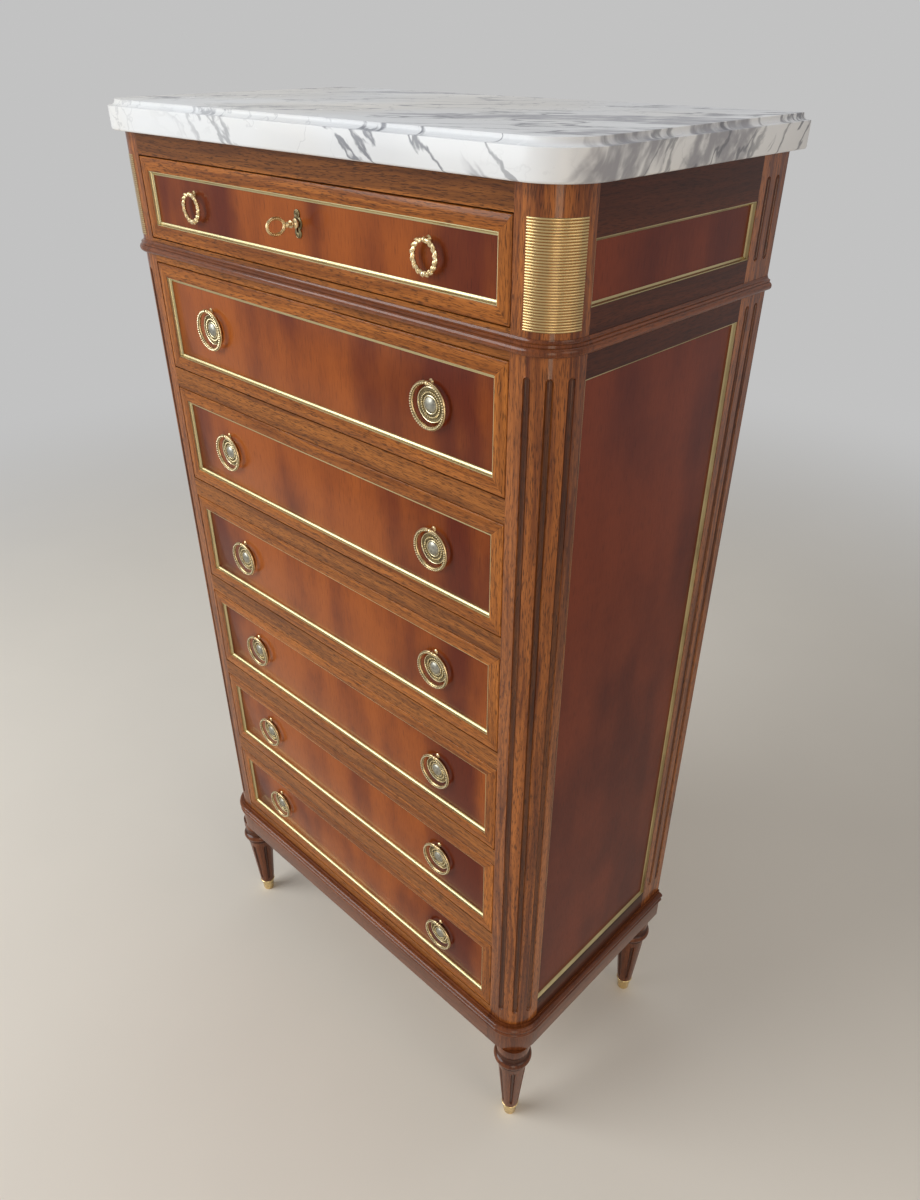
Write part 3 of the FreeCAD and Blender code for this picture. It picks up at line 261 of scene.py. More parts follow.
def mitred_strips(width: float, height: float, section: np.ndarray, gap: float) -> list[Surface]:
    """Four mitred strips round a rectangle that faces -Y: the section at one corner joined to the next.

    Args:
        width: Of the rectangle.
        height: Of the rectangle.
        section: Rows of (distance in from the rectangle, depth along +Y), a closed outline.
        gap: Hairline left at each mitre.

    Returns:
        The bottom, right, top and left strips.
    """
    corners = np.array([(-1, -1), (1, -1), (1, 1), (-1, 1)], dtype=float)
    inside = np.array([width, height]) / 2 - section[:, 0:1]
    strips = []
    for corner, following in zip(corners, np.roll(corners, -1, axis=0)):
        hairline = (following - corner) / 2 * gap
        ends = [corner * inside + hairline, following * inside - hairline]
        strips.append(loft(np.array([np.insert(end, 1, section[:, 1], axis=1) for end in ends])))
    return strips


def block(low: Spot, high: Spot, ease: float) -> Surface:
    """A board with eased arrises: a rectangle with round corners, drawn in towards its two ends.

    Args:
        low: Its lowest corner.
        high: Its highest corner.
        ease: Radius of the eased arrises.

    Returns:
        The board.
    """
    (x0, y0, z0), (x1, y1, z1) = low, high
    left, right, front, rear = x0 + ease, x1 - ease, y0 + ease, y1 - ease
    centres = ((right, rear), (left, rear), (left, front), (right, front))
    outline = np.concatenate([
        arc(centre, ease, 90 * quarter, 90 * quarter + 90, 3) for quarter, centre in enumerate(centres)
    ])
    inward = -np.sign(outline - ((x0 + x1) / 2, (y0 + y1) / 2))
    inset = np.array([1, 0.3, 0, 0, 0.3, 1]) * ease
    height = np.array([z0, z0 + ease * 0.3, z0 + ease, z1 - ease, z1 - ease * 0.3, z1])
    return loft(raised(outline + inward * inset[:, None, None], height[:, None]))


# ---------------------------------------------------------------------------------------------
# Finishes
# ---------------------------------------------------------------------------------------------
class Value:
    """A number or colour that varies over a surface, with arithmetic."""

    def __init__(self, graph: "Graph", socket: bpy.types.NodeSocket) -> None:
        """Wraps one output of a node."""
        self.graph, self.socket = graph, socket

    def __add__(self, other: "Value | float") -> "Value":
        """The sum of the two."""
        return self.graph.maths("ADD", self, other)

    def __sub__(self, other: "Value | float") -> "Value":
        """This value less the other."""
        return self.graph.maths("SUBTRACT", self, other)

    def __mul__(self, other: "Value | float") -> "Value":
        """The product of the two."""
        return self.graph.maths("MULTIPLY", self, other)

    def __radd__(self, other: float) -> "Value":
        """The sum of a number and this value."""
        return self.graph.maths("ADD", other, self)

    def __rsub__(self, other: float) -> "Value":
        """A number less this value."""
        return self.graph.maths("SUBTRACT", other, self)

    def __rmul__(self, other: float) -> "Value":
        """The product of a number and this value."""
        return self.graph.maths("MULTIPLY", other, self)

    def __abs__(self) -> "Value":
        """The value without its sign."""
        return self.graph.maths("ABSOLUTE", self)

    def between(self, low: float, high: float) -> "Value":
        """0 below low, 1 above high and a smooth rise between them.

        Args:
            low: Where the rise starts.
            high: Where it ends.

        Returns:
            The share of the rise.
        """
        settings = {"interpolation_type": "SMOOTHSTEP"}
        inputs = {"Value": self, "From Min": low, "From Max": high}
        return self.graph.output("ShaderNodeMapRange", settings, inputs, "Result")


class Graph:
    """The nodes of one material, or of the surroundings."""

    def __init__(self, owner: bpy.types.Material | bpy.types.World) -> None:
        """Starts an empty tree.

        Args:
            owner: The material or world that the tree belongs to.
        """
        owner.use_nodes = True
        self.owner, self.tree = owner, owner.node_tree
        self.tree.nodes.clear()

    @classmethod
    def named(cls, name: str) -> "Graph":
        """The tree of a new material."""
        return cls(bpy.data.materials.new(name))

    def node(
        self, kind: str, settings: dict[str, object] | None = None,
        inputs: dict[str | int, object] | None = None,
    ) -> bpy.types.Node:
        """Makes a node.

        Args:
            kind: Type of the node.
            settings: Its options, which are set before its inputs.
            inputs: A constant or a Value for each named or numbered input.

        Returns:
            The node.
        """
        node = self.tree.nodes.new(kind)
        for name, setting in (settings or {}).items():
            setattr(node, name, setting)
        for name, given in (inputs or {}).items():
            if isinstance(given, Value):
                self.tree.links.new(given.socket, node.inputs[name])
            else:
                node.inputs[name].default_value = given
        return node

    def output(
        self, kind: str, settings: dict[str, object] | None = None,
        inputs: dict[str | int, object] | None = None, name: str | int = 0,
    ) -> Value:
        """Makes a node and gives one of its outputs."""
        return Value(self, self.node(kind, settings, inputs).outputs[name])

    def maths(self, operation: str, *values: Value | float) -> Value:
        """One step of arithmetic."""
        return self.output("ShaderNodeMath", {"operation": operation}, dict(enumerate(values)))

    def vectors(self, operation: str, *values: Value | Spot, name: str = "Vector") -> Value:
        """One step of arithmetic on places."""
        return self.output("ShaderNodeVectorMath", {"operation": operation}, dict(enumerate(values)), name)

    def gathered(self, axes: list[Value]) -> Value:
        """A place from its three coordinates."""
        return self.output("ShaderNodeCombineXYZ", None, dict(enumerate(axes)))

    def noise(self, place: Value, waves: Spot, detail: float, name: str = "Fac") -> Value:
        """Cloudy noise with a number of waves in a metre along each axis."""
        inputs = {"Vector": self.vectors("MULTIPLY", place, waves), "Scale": 1.0, "Detail": detail}
        return self.output("ShaderNodeTexNoise", None, inputs, name)

    def swayed(self, place: Value, waves: Spot, detail: float, reach: float) -> Value:
        """A place pushed about by a coloured noise: noise times reach, plus the place."""
        noise = self.noise(place, waves, detail, "Color")
        return self.vectors("MULTIPLY_ADD", noise, (reach,) * 3, place)

    def blend(self, factor: Value, first: Value | Colour, second: Value | Colour) -> Value:
        """A colour between two others."""
        low, high = [c if isinstance(c, Value) else (*c, 1.0) for c in (first, second)]
        return self.output("ShaderNodeMix", {"data_type": "RGBA"}, {0: factor, 6: low, 7: high}, 2)

    def bump(self, height: Value, distance: float, strength: float) -> Value:
        """A normal from a height that runs from 0 to 1 over a distance in metres."""
        inputs = {"Height": height, "Distance": distance, "Strength": strength}
        return self.output("ShaderNodeBump", None, inputs, "Normal")

    def place(self, grain: Grain) -> Value:
        """Where a point lies in its plank or block.

        Args:
            grain: Where the places come from, and in which order.

        Returns:
            The place in metres.
        """
        if grain is Grain.PLANK:
            return self.output("ShaderNodeAttribute", {"attribute_name": "timber"}, None, "Vector")
        place = self.output("ShaderNodeTexCoord", None, None, "Object")
        if grain is Grain.NONE:
            return place
        split = self.node("ShaderNodeSeparateXYZ", None, {0: place})
        return self.gathered([Value(self, split.outputs[axis]) for axis in grain.value])

    def coordinate(self, place: Value, axis: str) -> Value:
        """One coordinate of a place."""
        return self.output("ShaderNodeSeparateXYZ", None, {0: place}, axis)

    def layers(self, place: Value, ways: tuple[Spot, ...]) -> Value:
        """A place measured along three directions of its own."""
        return self.gathered([self.vectors("DOT_PRODUCT", place, way, name="Value") for way in ways])

    def shader(self, varying: dict[str, object], constant: dict[str, float]) -> Value:
        """The finish of the surface, from values that vary over it and values that don't."""
        return self.output("ShaderNodeBsdfPrincipled", None, {**constant, **varying})

    def finished(self, shader: Value) -> bpy.types.Material:
        """Puts the shader on the material."""
        self.node("ShaderNodeOutputMaterial", None, {"Surface": shader})
        return self.owner


def darkened(colour: Colour, share: float) -> Colour:
    """A share of a colour."""
    return tuple(c * share for c in colour)


@dataclass(frozen=True)
class Mahogany:
    """French-polished mahogany. Its class values are waves in a metre along, across and through the plank.

    Attributes:
        dark: Colour of its dark figure.
        light: Colour of its light figure.
        figure: Strength of the broad bands.
        bands: Broad bands in a metre, along and across the grain.
        streaks: Strength of the fine streaks along the grain.
        flecks: Strength of the short dark flecks.
        clouds: Strength of the soft blotches.
        gloss: Roughness under the polish.
        shade_above: Height in metres over which the wood gets painted shade, as under the marble top.
        polish: Strength of the clear polish over the wood.
    """

    WANDER = (3, 9, 9)
    STREAK = (5, 260, 260)
    CLOUD = (9, 14, 14)
    FLECK = (88, 960, 960)
    PORE = (55, 1300, 1300)

    name: str
    dark: Colour
    light: Colour
    figure: float = 0.8
    bands: Pair = (1.3, 34.0)
    streaks: float = 0.9
    flecks: float = 0.5
    clouds: float = 0.0
    gloss: float = 0.42
    shade_above: float = 9.0
    polish: float = 0.24

    def material(self, grain: Grain) -> bpy.types.Material:
        """Builds the finish: bands, streaks and clouds mix its two colours, then flecks and pores darken it,
        and painted shade darkens the marked hollows and the wood over the shade_above height.

        Args:
            grain: Where its places come from.

        Returns:
            The material.
        """
        graph = Graph.named(f"{self.name}_{grain.name.lower()}")
        place = graph.place(grain)
        along, across = self.bands
        bent = graph.swayed(place, self.WANDER, 2, 0.03)
        band = graph.noise(bent, (along, across, across), 2)
        streak = graph.noise(bent, self.STREAK, 3)
        cloud = graph.noise(bent, self.CLOUD, 3)
        fleck = graph.noise(bent, self.FLECK, 3)
        pore = graph.noise(place, self.PORE, 1)
        tone = 0.5 + self.figure * 2.2 * (band - 0.5) + self.streaks * (streak - 0.5)
        tone = tone + self.clouds * 1.6 * (cloud - 0.5)
        deep = darkened(self.dark, 0.28)
        colour = graph.blend(tone.between(-0.1, 1.1), self.dark, self.light)
        colour = graph.blend(fleck.between(0.50, 0.66) * self.flecks, colour, deep)
        colour = graph.blend(pore.between(0.58, 0.68) * 0.35, colour, deep)
        # Painted shade: points marked as lying in flutes and hollows are darkened towards the deep colour.
        hollow_shade = graph.output("ShaderNodeAttribute", {"attribute_name": "hollow_shade"}, None, "Fac")
        colour = graph.blend(hollow_shade.between(0.0, 0.7) * 0.60, colour, deep)
        # Painted shade: wood higher than shade_above, under the marble top, is darkened.
        height = graph.coordinate(graph.place(Grain.NONE), "Z")
        above = height.between(self.shade_above, self.shade_above + 0.004)
        colour = graph.blend(above * 0.45, colour, deep)
        normal = graph.bump(streak * 0.5 + pore * 0.5, 0.00025, 0.25)
        return graph.finished(graph.shader(
            {"Base Color": colour, "Roughness": self.gloss + 0.12 * (fleck - 0.5), "Normal": normal},
            {"Coat Weight": self.polish, "Coat Roughness": 0.09, "IOR": 1.5, "Specular IOR Level": 0.1},
        ))


@dataclass(frozen=True)
class Oak:
    """Plain, unpolished wood of the hidden parts, in waves in a metre like the mahogany's."""

    WANDER = (2, 7, 7)
    RING = (1.0, 60, 60)
    PORE = (30, 900, 900)

    name: str
    dark: Colour
    light: Colour

    def material(self, grain: Grain) -> bpy.types.Material:
        """Builds the finish: year rings mix its two colours, and pores darken it.

        Args:
            grain: Where its places come from.

        Returns:
            The material.
        """
        graph = Graph.named(f"{self.name}_{grain.name.lower()}")
        place = graph.place(grain)
        ring = graph.noise(graph.swayed(place, self.WANDER, 2, 0.03), self.RING, 4)
        pore = graph.noise(place, self.PORE, 2)
        colour = graph.blend(ring.between(0.3, 0.7), self.dark, self.light)
        colour = graph.blend(pore.between(0.58, 0.7) * 0.4, colour, darkened(self.dark, 0.5))
        varying = {"Base Color": colour, "Roughness": 0.62 + 0.2 * (ring - 0.5)}
        varying["Normal"] = graph.bump(pore, 0.0003, 0.3)
        return graph.finished(graph.shader(varying, {"Specular IOR Level": 0.3}))


@dataclass(frozen=True)
class Marble:
    """White marble with slanted grey beds, jagged veins and faint hair lines.

    Attributes:
        ground: Colour of the clear stone.
        warm: Colour of its warmer stretches.
        bed: Colour of the grey beds.
        vein: Colour of the veins.
        quarry: Where in the quarry's bed the slab is cut, in metres.
        ways: Directions across the beds, along them and down them.
    """

    name: str
    ground: Colour
    warm: Colour
    bed: Colour
    vein: Colour
    quarry: Spot
    ways: tuple[Spot, ...] = (
        (-0.433, 0.736, -0.520), (0.862, 0.507, 0.0), (0.264, -0.448, -0.854)
    )

    def material(self) -> bpy.types.Material:
        """Builds the finish: warm stretches, haze, mottled beds, veins and hair lines, each over the last.

        Returns:
            The material.
        """
        graph = Graph.named(self.name)
        slab = graph.place(Grain.NONE)
        richer = graph.coordinate(graph.layers(slab, self.ways), "Y").between(0.12, 0.40) * 0.09
        place = graph.vectors("ADD", slab, self.quarry)
        bent = graph.layers(graph.swayed(place, (7, 7, 7), 5, 0.06), self.ways)
        bed = graph.noise(bent, (13, 1.9, 2.6), 5)
        clump = graph.noise(bent, (3.4, 1.6, 1.6), 2)
        mottle = graph.noise(bent, (90, 34, 50), 3)
        crack = abs(graph.noise(bent, (17, 4.0, 6.0), 6) - 0.5)
        hair = abs(graph.noise(place, (14, 11, 17), 5) - 0.5)
        tint = graph.noise(place, (2.3, 2.3, 6), 3)
        colour = graph.blend(tint.between(0.46, 0.66), self.ground, self.warm)
        haze = clump.between(0.46, 0.70) * 0.30
        colour = graph.blend(haze, colour, self.bed)
        patch = (bed + 0.30 * (clump - 0.5) + richer).between(0.60, 0.635)
        colour = graph.blend(patch * mottle.between(0.20, 0.60) * 0.95, colour, self.bed)
        lines = (1.0 - crack.between(0.003, 0.020)) * clump.between(0.40, 0.55)
        colour = graph.blend(lines * 0.85, colour, self.vein)
        faint = (1.0 - hair.between(0.0, 0.012)) * tint.between(0.40, 0.62) * 0.38
        colour = graph.blend(faint, colour, self.vein)
        varying = {"Base Color": colour, "Roughness": 0.20 + 0.10 * mottle}
        return graph.finished(graph.shader(varying, {"IOR": 1.5, "Specular IOR Level": 0.25}))


@dataclass(frozen=True)
class Brass:
    """Cast or rolled brass with some tarnish.

    Attributes:
        bright: Colour of the clean metal.
        tarnished: Colour where it is most tarnished.
        roughness: Of the clean metal.
        tarnish: Share of the tarnish in the darkest clouds.
        scale: Clouds of tarnish in a metre.
        grit: Strength of the sandy skin of a casting.
    """

    name: str
    bright: Colour
    tarnished: Colour
    roughness: float
    tarnish: float
    scale: float
    grit: float = 0.0

    def material(self) -> bpy.types.Material:
        """Builds the finish: clouds of tarnish over the clean metal.

        Returns:
            The material.
        """
        graph = Graph.named(self.name)
        place = graph.place(Grain.NONE)
        share = graph.noise(place, (self.scale,) * 3, 3).between(0.35, 0.75) * self.tarnish
        colour = graph.blend(share, self.bright, self.tarnished)
        varying = {"Base Color": colour, "Roughness": self.roughness + 0.2 * share}
        if self.grit:
            varying["Normal"] = graph.bump(graph.noise(place, (1500.0,) * 3, 2), 0.00004, self.grit)
        return graph.finished(graph.shader(varying, {"Metallic": 1.0}))


BACKDROP: Colour = (0.54, 0.54, 0.54)


def glow(graph: Graph, kind: str, colour: Colour, strength: float) -> Value:
    """An even light of one colour."""
    return graph.output(kind, None, {"Color": (*colour, 1.0), "Strength": strength})


def seen_directly(graph: Graph) -> Value:
    """1 for rays that show the surroundings: straight to the eye, mirrored or through glass.

    Args:
        graph: The nodes that it is worked out in.

    Returns:
        The share.
    """
    ray = graph.node("ShaderNodeLightPath")
    shown = [Value(graph, ray.outputs[f"Is {kind} Ray"]) for kind in ("Camera", "Glossy", "Transmission")]
    return graph.maths("MINIMUM", shown[0] + shown[1] + shown[2], 1.0)


@dataclass(frozen=True)
class Floor:
    """Pale, plain floor that fades into the backdrop.

    Attributes:
        near: Distance in metres from the chest where it starts to fade.
        far: Distance where only the backdrop is left.
    """

    name: str
    colour: Colour
    near: float = 1.5
    far: float = 3.6

    def material(self) -> bpy.types.Material:
        """Builds the finish: faint clouds near the chest, the backdrop's glow away from it.

        Returns:
            The material.
        """
        graph = Graph.named(self.name)
        place = graph.place(Grain.NONE)
        cloud = graph.noise(place, (3.0, 3.0, 3.0), 4)
        colour = graph.blend(cloud, darkened(self.colour, 0.94), self.colour)
        varying = {"Base Color": colour, "Roughness": 0.55 + 0.1 * cloud}
        boards = graph.shader(varying, {"Specular IOR Level": 0.3})
        backdrop = glow(graph, "ShaderNodeEmission", BACKDROP, 1.0)
        away = graph.vectors("LENGTH", place, name="Value")
        share = away.between(self.near, self.far) * seen_directly(graph)
        return graph.finished(graph.output("ShaderNodeMixShader", None, {0: share, 1: boards, 2: backdrop}))


class Finishes:
    """Every finish of the chest, made once."""

    def __init__(self) -> None:
        """Makes the materials."""
        self.strip = Mahogany(
            "mahogany_frames", (0.190, 0.052, 0.008), (0.460, 0.150, 0.025), figure=0.7, bands=(2.0, 60.0),
            streaks=1.7, flecks=0.78,
        ).material(Grain.PLANK)
        self.flame = Mahogany(
            "mahogany_flame", (0.112, 0.016, 0.004), (0.330, 0.080, 0.011), figure=1.7, bands=(1.6, 9.5),
            streaks=0.12, flecks=0.08, clouds=0.9, gloss=0.36,
        ).material(Grain.PLANK)
        self.post = Mahogany(
            "mahogany_posts", (0.105, 0.023, 0.005), (0.410, 0.130, 0.025), figure=0.9, bands=(0.9, 60.0),
            streaks=1.6, flecks=0.70, polish=0.6,
        ).material(Grain.PLANK)
        self.moulding = Mahogany(
            "mahogany_mouldings", (0.085, 0.019, 0.005), (0.230, 0.064, 0.016), figure=0.7,
            bands=(1.3, 40.0), streaks=1.0, gloss=0.34, polish=0.5,
        ).material(Grain.PLANK)
        # The rails get painted shade over 1.3925 m, where the top rail lies under the marble top.
        self.rail = Mahogany(
            "mahogany_rails", (0.150, 0.044, 0.008), (0.390, 0.132, 0.024), bands=(1.6, 50.0), streaks=1.7,
            flecks=0.78, shade_above=1.3925,
        ).material(Grain.LENGTHWISE)
        # Painted shade: the side panels and side frames are darker copies of the front's mahogany, for the
        # sides in shade.
        self.side_panel = Mahogany(
            "mahogany_sides_painted_shade", (0.085, 0.009, 0.002), (0.190, 0.032, 0.008), figure=1.0, bands=(1.2, 7.0),
            streaks=0.25, flecks=0.12, clouds=0.9, gloss=0.38,
        ).material(Grain.UPRIGHT)
        self.side_rail = Mahogany(
            "mahogany_side_frames_painted_shade", (0.036, 0.007, 0.002), (0.100, 0.024, 0.007), figure=0.7,
            bands=(1.0, 40.0),
        ).material(Grain.FRONT_TO_BACK)
        hidden = Oak("plain_wood", (0.36, 0.23, 0.12), (0.55, 0.39, 0.23))
        self.hidden_upright = hidden.material(Grain.UPRIGHT)
        self.hidden_front_to_back = hidden.material(Grain.FRONT_TO_BACK)
        self.marble = Marble(
            "white_marble", ground=(0.785, 0.797, 0.81), warm=(0.77, 0.74, 0.685), bed=(0.33, 0.33, 0.36),
            vein=(0.17, 0.175, 0.20), quarry=(0.74, 1.45, 1.77),
        ).material()
        # The looks of each brass: its two colours, roughness, tarnish, clouds in a metre and grit.
        self.trim, self.side_trim, self.plate, self.casting, self.beads = [
            Brass(*looks).material() for looks in (
                ("brass_trim", (0.60, 0.51, 0.28), (0.40, 0.33, 0.17), 0.33, 0.3, 30),
                # The side trims' brass is a darker, more tarnished copy of the trim's: tarnish, and painted
                # shade of the sides.
                ("brass_side_trim_painted_shade", (0.52, 0.42, 0.22), (0.24, 0.18, 0.09), 0.30, 0.7, 14),
                ("brass_plate", (0.60, 0.44, 0.21), (0.38, 0.27, 0.13), 0.27, 0.4, 25),
                ("brass_castings", (0.80, 0.62, 0.35), (0.34, 0.25, 0.13), 0.26, 0.6, 200),
                ("brass_beads", (0.92, 0.82, 0.56), (0.60, 0.50, 0.30), 0.22, 0.4, 200),
            )
        ]
        self.tarnished, self.shoe, self.dull, self.steel = [
            Brass(*looks).material() for looks in (
                ("brass_tarnished", (0.24, 0.19, 0.10), (0.08, 0.06, 0.04), 0.36, 0.7, 200, 0.4),
                ("brass_shoes", (0.80, 0.62, 0.32), (0.36, 0.25, 0.11), 0.24, 0.4, 90),
                ("brass_dulled", (0.40, 0.39, 0.33), (0.13, 0.12, 0.10), 0.36, 0.7, 240, 0.4),
                ("lock_steel", (0.55, 0.55, 0.56), (0.24, 0.21, 0.19), 0.32, 0.5, 90),
            )
        ]
        self.floor = Floor("pale_floor", (0.80, 0.74, 0.65)).material()


# ---------------------------------------------------------------------------------------------
# Pieces
# ---------------------------------------------------------------------------------------------
class Piece:
    """One shown piece: its surfaces, gathered into one mesh that rides on a body."""

    SHARP = math.radians(38)

    def __init__(self, name: str, body: str, slot: str, stands_for: list[str]) -> None:
        """Starts an empty piece.

        Args:
            name: Of the piece.
            body: The body it rides on.
            slot: Its finish slot; not used.
            stands_for: The nodes that it replaces.
        """
        self.name, self.body, self.slot, self.stands_for = name, body, slot, stands_for
        self.surfaces: list[tuple[Surface, bpy.types.Material]] = []

    def add(self, surface: Surface | list[Surface], finish: bpy.types.Material) -> "Piece":
        """Adds a surface, or several, in one finish.

        Args:
            surface: What is added.
            finish: Its finish.

        Returns:
            The piece itself.
        """
        for part in surface if isinstance(surface, list) else [surface]:
            self.surfaces.append((part, finish))
        return self

    def build(self) -> None:
        """Writes the mesh and puts the piece on its body."""
        parts = [part for part, _ in self.surfaces]
        finishes = list(dict.fromkeys(finish for _, finish in self.surfaces))
        whole = joined(parts)
        mesh = bpy.data.meshes.new(self.name)
        faces = [row for face in whole.faces for row in face.tolist()]
        mesh.from_pydata((whole.points / METRE).tolist(), [], faces)
        for finish in finishes:
            mesh.materials.append(finish)
        numbers = np.concatenate([
            np.full(sum(map(len, part.faces)), finishes.index(finish)) for part, finish in self.surfaces
        ])
        mesh.polygons.foreach_set("material_index", numbers.astype(np.int32))
        mesh.polygons.foreach_set("use_smooth", np.ones(len(numbers), dtype=bool))
        timber = [part.points / METRE if part.timber is None else part.timber for part in parts]
        # Each point's share of painted shade in flutes and hollows, 0 where a surface has none.
        hollow_shade = [np.zeros(len(part.points)) if part.hollow_shade is None else part.hollow_shade for part in parts]
        for name, kind, key, rows in (
            ("timber", "FLOAT_VECTOR", "vector", timber), ("hollow_shade", "FLOAT", "value", hollow_shade)
        ):
            attribute = mesh.attributes.new(name, kind, "POINT")
            attribute.data.foreach_set(key, np.concatenate(rows).astype(np.float32).ravel())
        mesh.set_sharp_from_angle(angle=self.SHARP)
        mesh.update()
        thing = bpy.data.objects.new(self.name, mesh)
        bpy.context.scene.collection.objects.link(thing)
        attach(thing, self.body)
        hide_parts(*self.stands_for)
        log.info("%s: %d faces", self.name, len(mesh.polygons))


@dataclass(frozen=True)
class Case:
    """Sizes that several parts of the chest share."""

    half_width: float = 363.0
    front: float = -171.5
    back: float = 205.5
    corner_radius: float = 40.0
    post_front_flat: float = 13.5
    post_side_flat: float = 6.5
    foot_height: float = 204.0
    plinth_top: float = 266.0
    girdle_bottom: float = 1274.5
    frieze_bottom: float = 1294.3
    case_top: float = 1417.0
    stile_width: float = 52.5
    frame_thickness: float = 24.0
    back_rebate: float = 12.0
    back_panel: float = 8.0
    frieze_panel: Pair = (1313.5, 1371.5)
    lower_panel: Pair = (302.0, 1248.5)
    first_opening: float = 281.0
    opening: float = 141.0
    divider: float = 27.7
    frieze_opening: float = 97.0
    board_face: float = -166.5
    board: float = 15.0
    key_height: float = 1346.8

    @property
    def opening_half(self) -> float:
        """Half the width between the posts."""
        return self.half_width - self.corner_radius - self.post_front_flat

    @property
    def axis(self) -> Pair:
        """Centre of the right post's round."""
        return self.half_width - self.corner_radius, self.front + self.corner_radius

    @property
    def stile_front(self) -> float:
        """Front face of the rear stiles."""
        return self.back - self.stile_width

    @property
    def side_front(self) -> float:
        """Where the side frame meets the post."""
        return self.front + self.corner_radius + self.post_side_flat

    @property
    def corner_length(self) -> float:
        """Length of a post's face, round from the drawers to the side."""
        return self.post_front_flat + self.corner_radius * math.pi / 2 + self.post_side_flat

    def opening_bottom(self, drawer: int) -> float:
        """Lower edge of a drawer's opening."""
        lower = self.first_opening + (self.opening + self.divider) * (DRAWERS[-1] - drawer)
        return self.frieze_bottom if drawer == 1 else lower

    def opening_height(self, drawer: int) -> float:
        """Height of a drawer's opening."""
        return self.frieze_opening if drawer == 1 else self.opening


CASE = Case()


def corner_columns(steps: int) -> np.ndarray:
    """Distances along a post's face: its two ends, and evenly round its corner."""
    turn = np.linspace(CASE.post_front_flat, CASE.corner_length - CASE.post_side_flat, steps)
    return np.concatenate([[0.0], turn, [CASE.corner_length]])


def corner_line(distance: np.ndarray) -> tuple[np.ndarray, np.ndarray]:
    """Follows the right post's front flat, quarter round and side flat.

    Args:
        distance: Millimetres along the post's face, from the drawers round to the side.

    Returns:
        The places on the face and the directions out of it, both as (x, y).
    """
    quarter = math.pi / 2
    turn = (distance - CASE.post_front_flat) / CASE.corner_radius
    angle = np.clip(turn, 0, quarter) - quarter
    out = np.stack([np.cos(angle), np.sin(angle)], axis=-1)
    before = np.minimum(distance - CASE.post_front_flat, 0)
    after = np.maximum((turn - quarter) * CASE.corner_radius, 0)
    return CASE.axis + out * CASE.corner_radius + np.stack([before, after], axis=-1), out


def moulding_runs() -> list[tuple[np.ndarray, np.ndarray]]:
    """The runs of a moulding round the case: left side, left corner, front, right corner, right side.

    Returns:
        For each run the places on the case's face and the directions out of it.
    """
    corner = corner_line(corner_columns(25))
    side = (
        np.array([(CASE.half_width, CASE.side_front), (CASE.half_width, CASE.back)]),
        np.array([(1.0, 0.0), (1.0, 0.0)]),
    )
    front = (
        np.array([(-CASE.opening_half, CASE.front), (CASE.opening_half, CASE.front)]),
        np.array([(0.0, -1.0), (0.0, -1.0)]),
    )
    left_side, left_corner = [[(rows * (-1.0, 1.0))[::-1] for rows in run] for run in (side, corner)]
    return [left_side, left_corner, front, corner, side]


@dataclass(frozen=True)
class Moulding:
    """A moulding carried round the case in five runs with fine joints between them.

    Attributes:
        section: Rows of (distance out of the case, height) round its section.
        plank: Number of the first run's plank.
        joint: Hairline left at each end of a run.
    """

    section: np.ndarray
    plank: int
    joint: float = 0.12

    def surfaces(self) -> list[Surface]:
        """The five runs: the section at each place of its line, each run sawn from its own plank.

        Returns:
            The runs, from the left side round to the right.
        """
        side, corner, front = Grain.FRONT_TO_BACK, Grain.UPRIGHT, Grain.LENGTHWISE
        runs = []
        for number, grain in enumerate((side, corner, front, corner, side)):
            line, out = moulding_runs()[number]
            place = line.copy()
            for end, inner in ((0, 1), (-1, -2)):
                way = place[inner] - place[end]
                place[end] += way / np.linalg.norm(way) * self.joint
            spot = place[:, None, :] + out[:, None, :] * self.section[None, :, 0:1]
            runs.append(loft(raised(spot, self.section[:, 1])).sawn(grain, self.plank + number))
        return runs


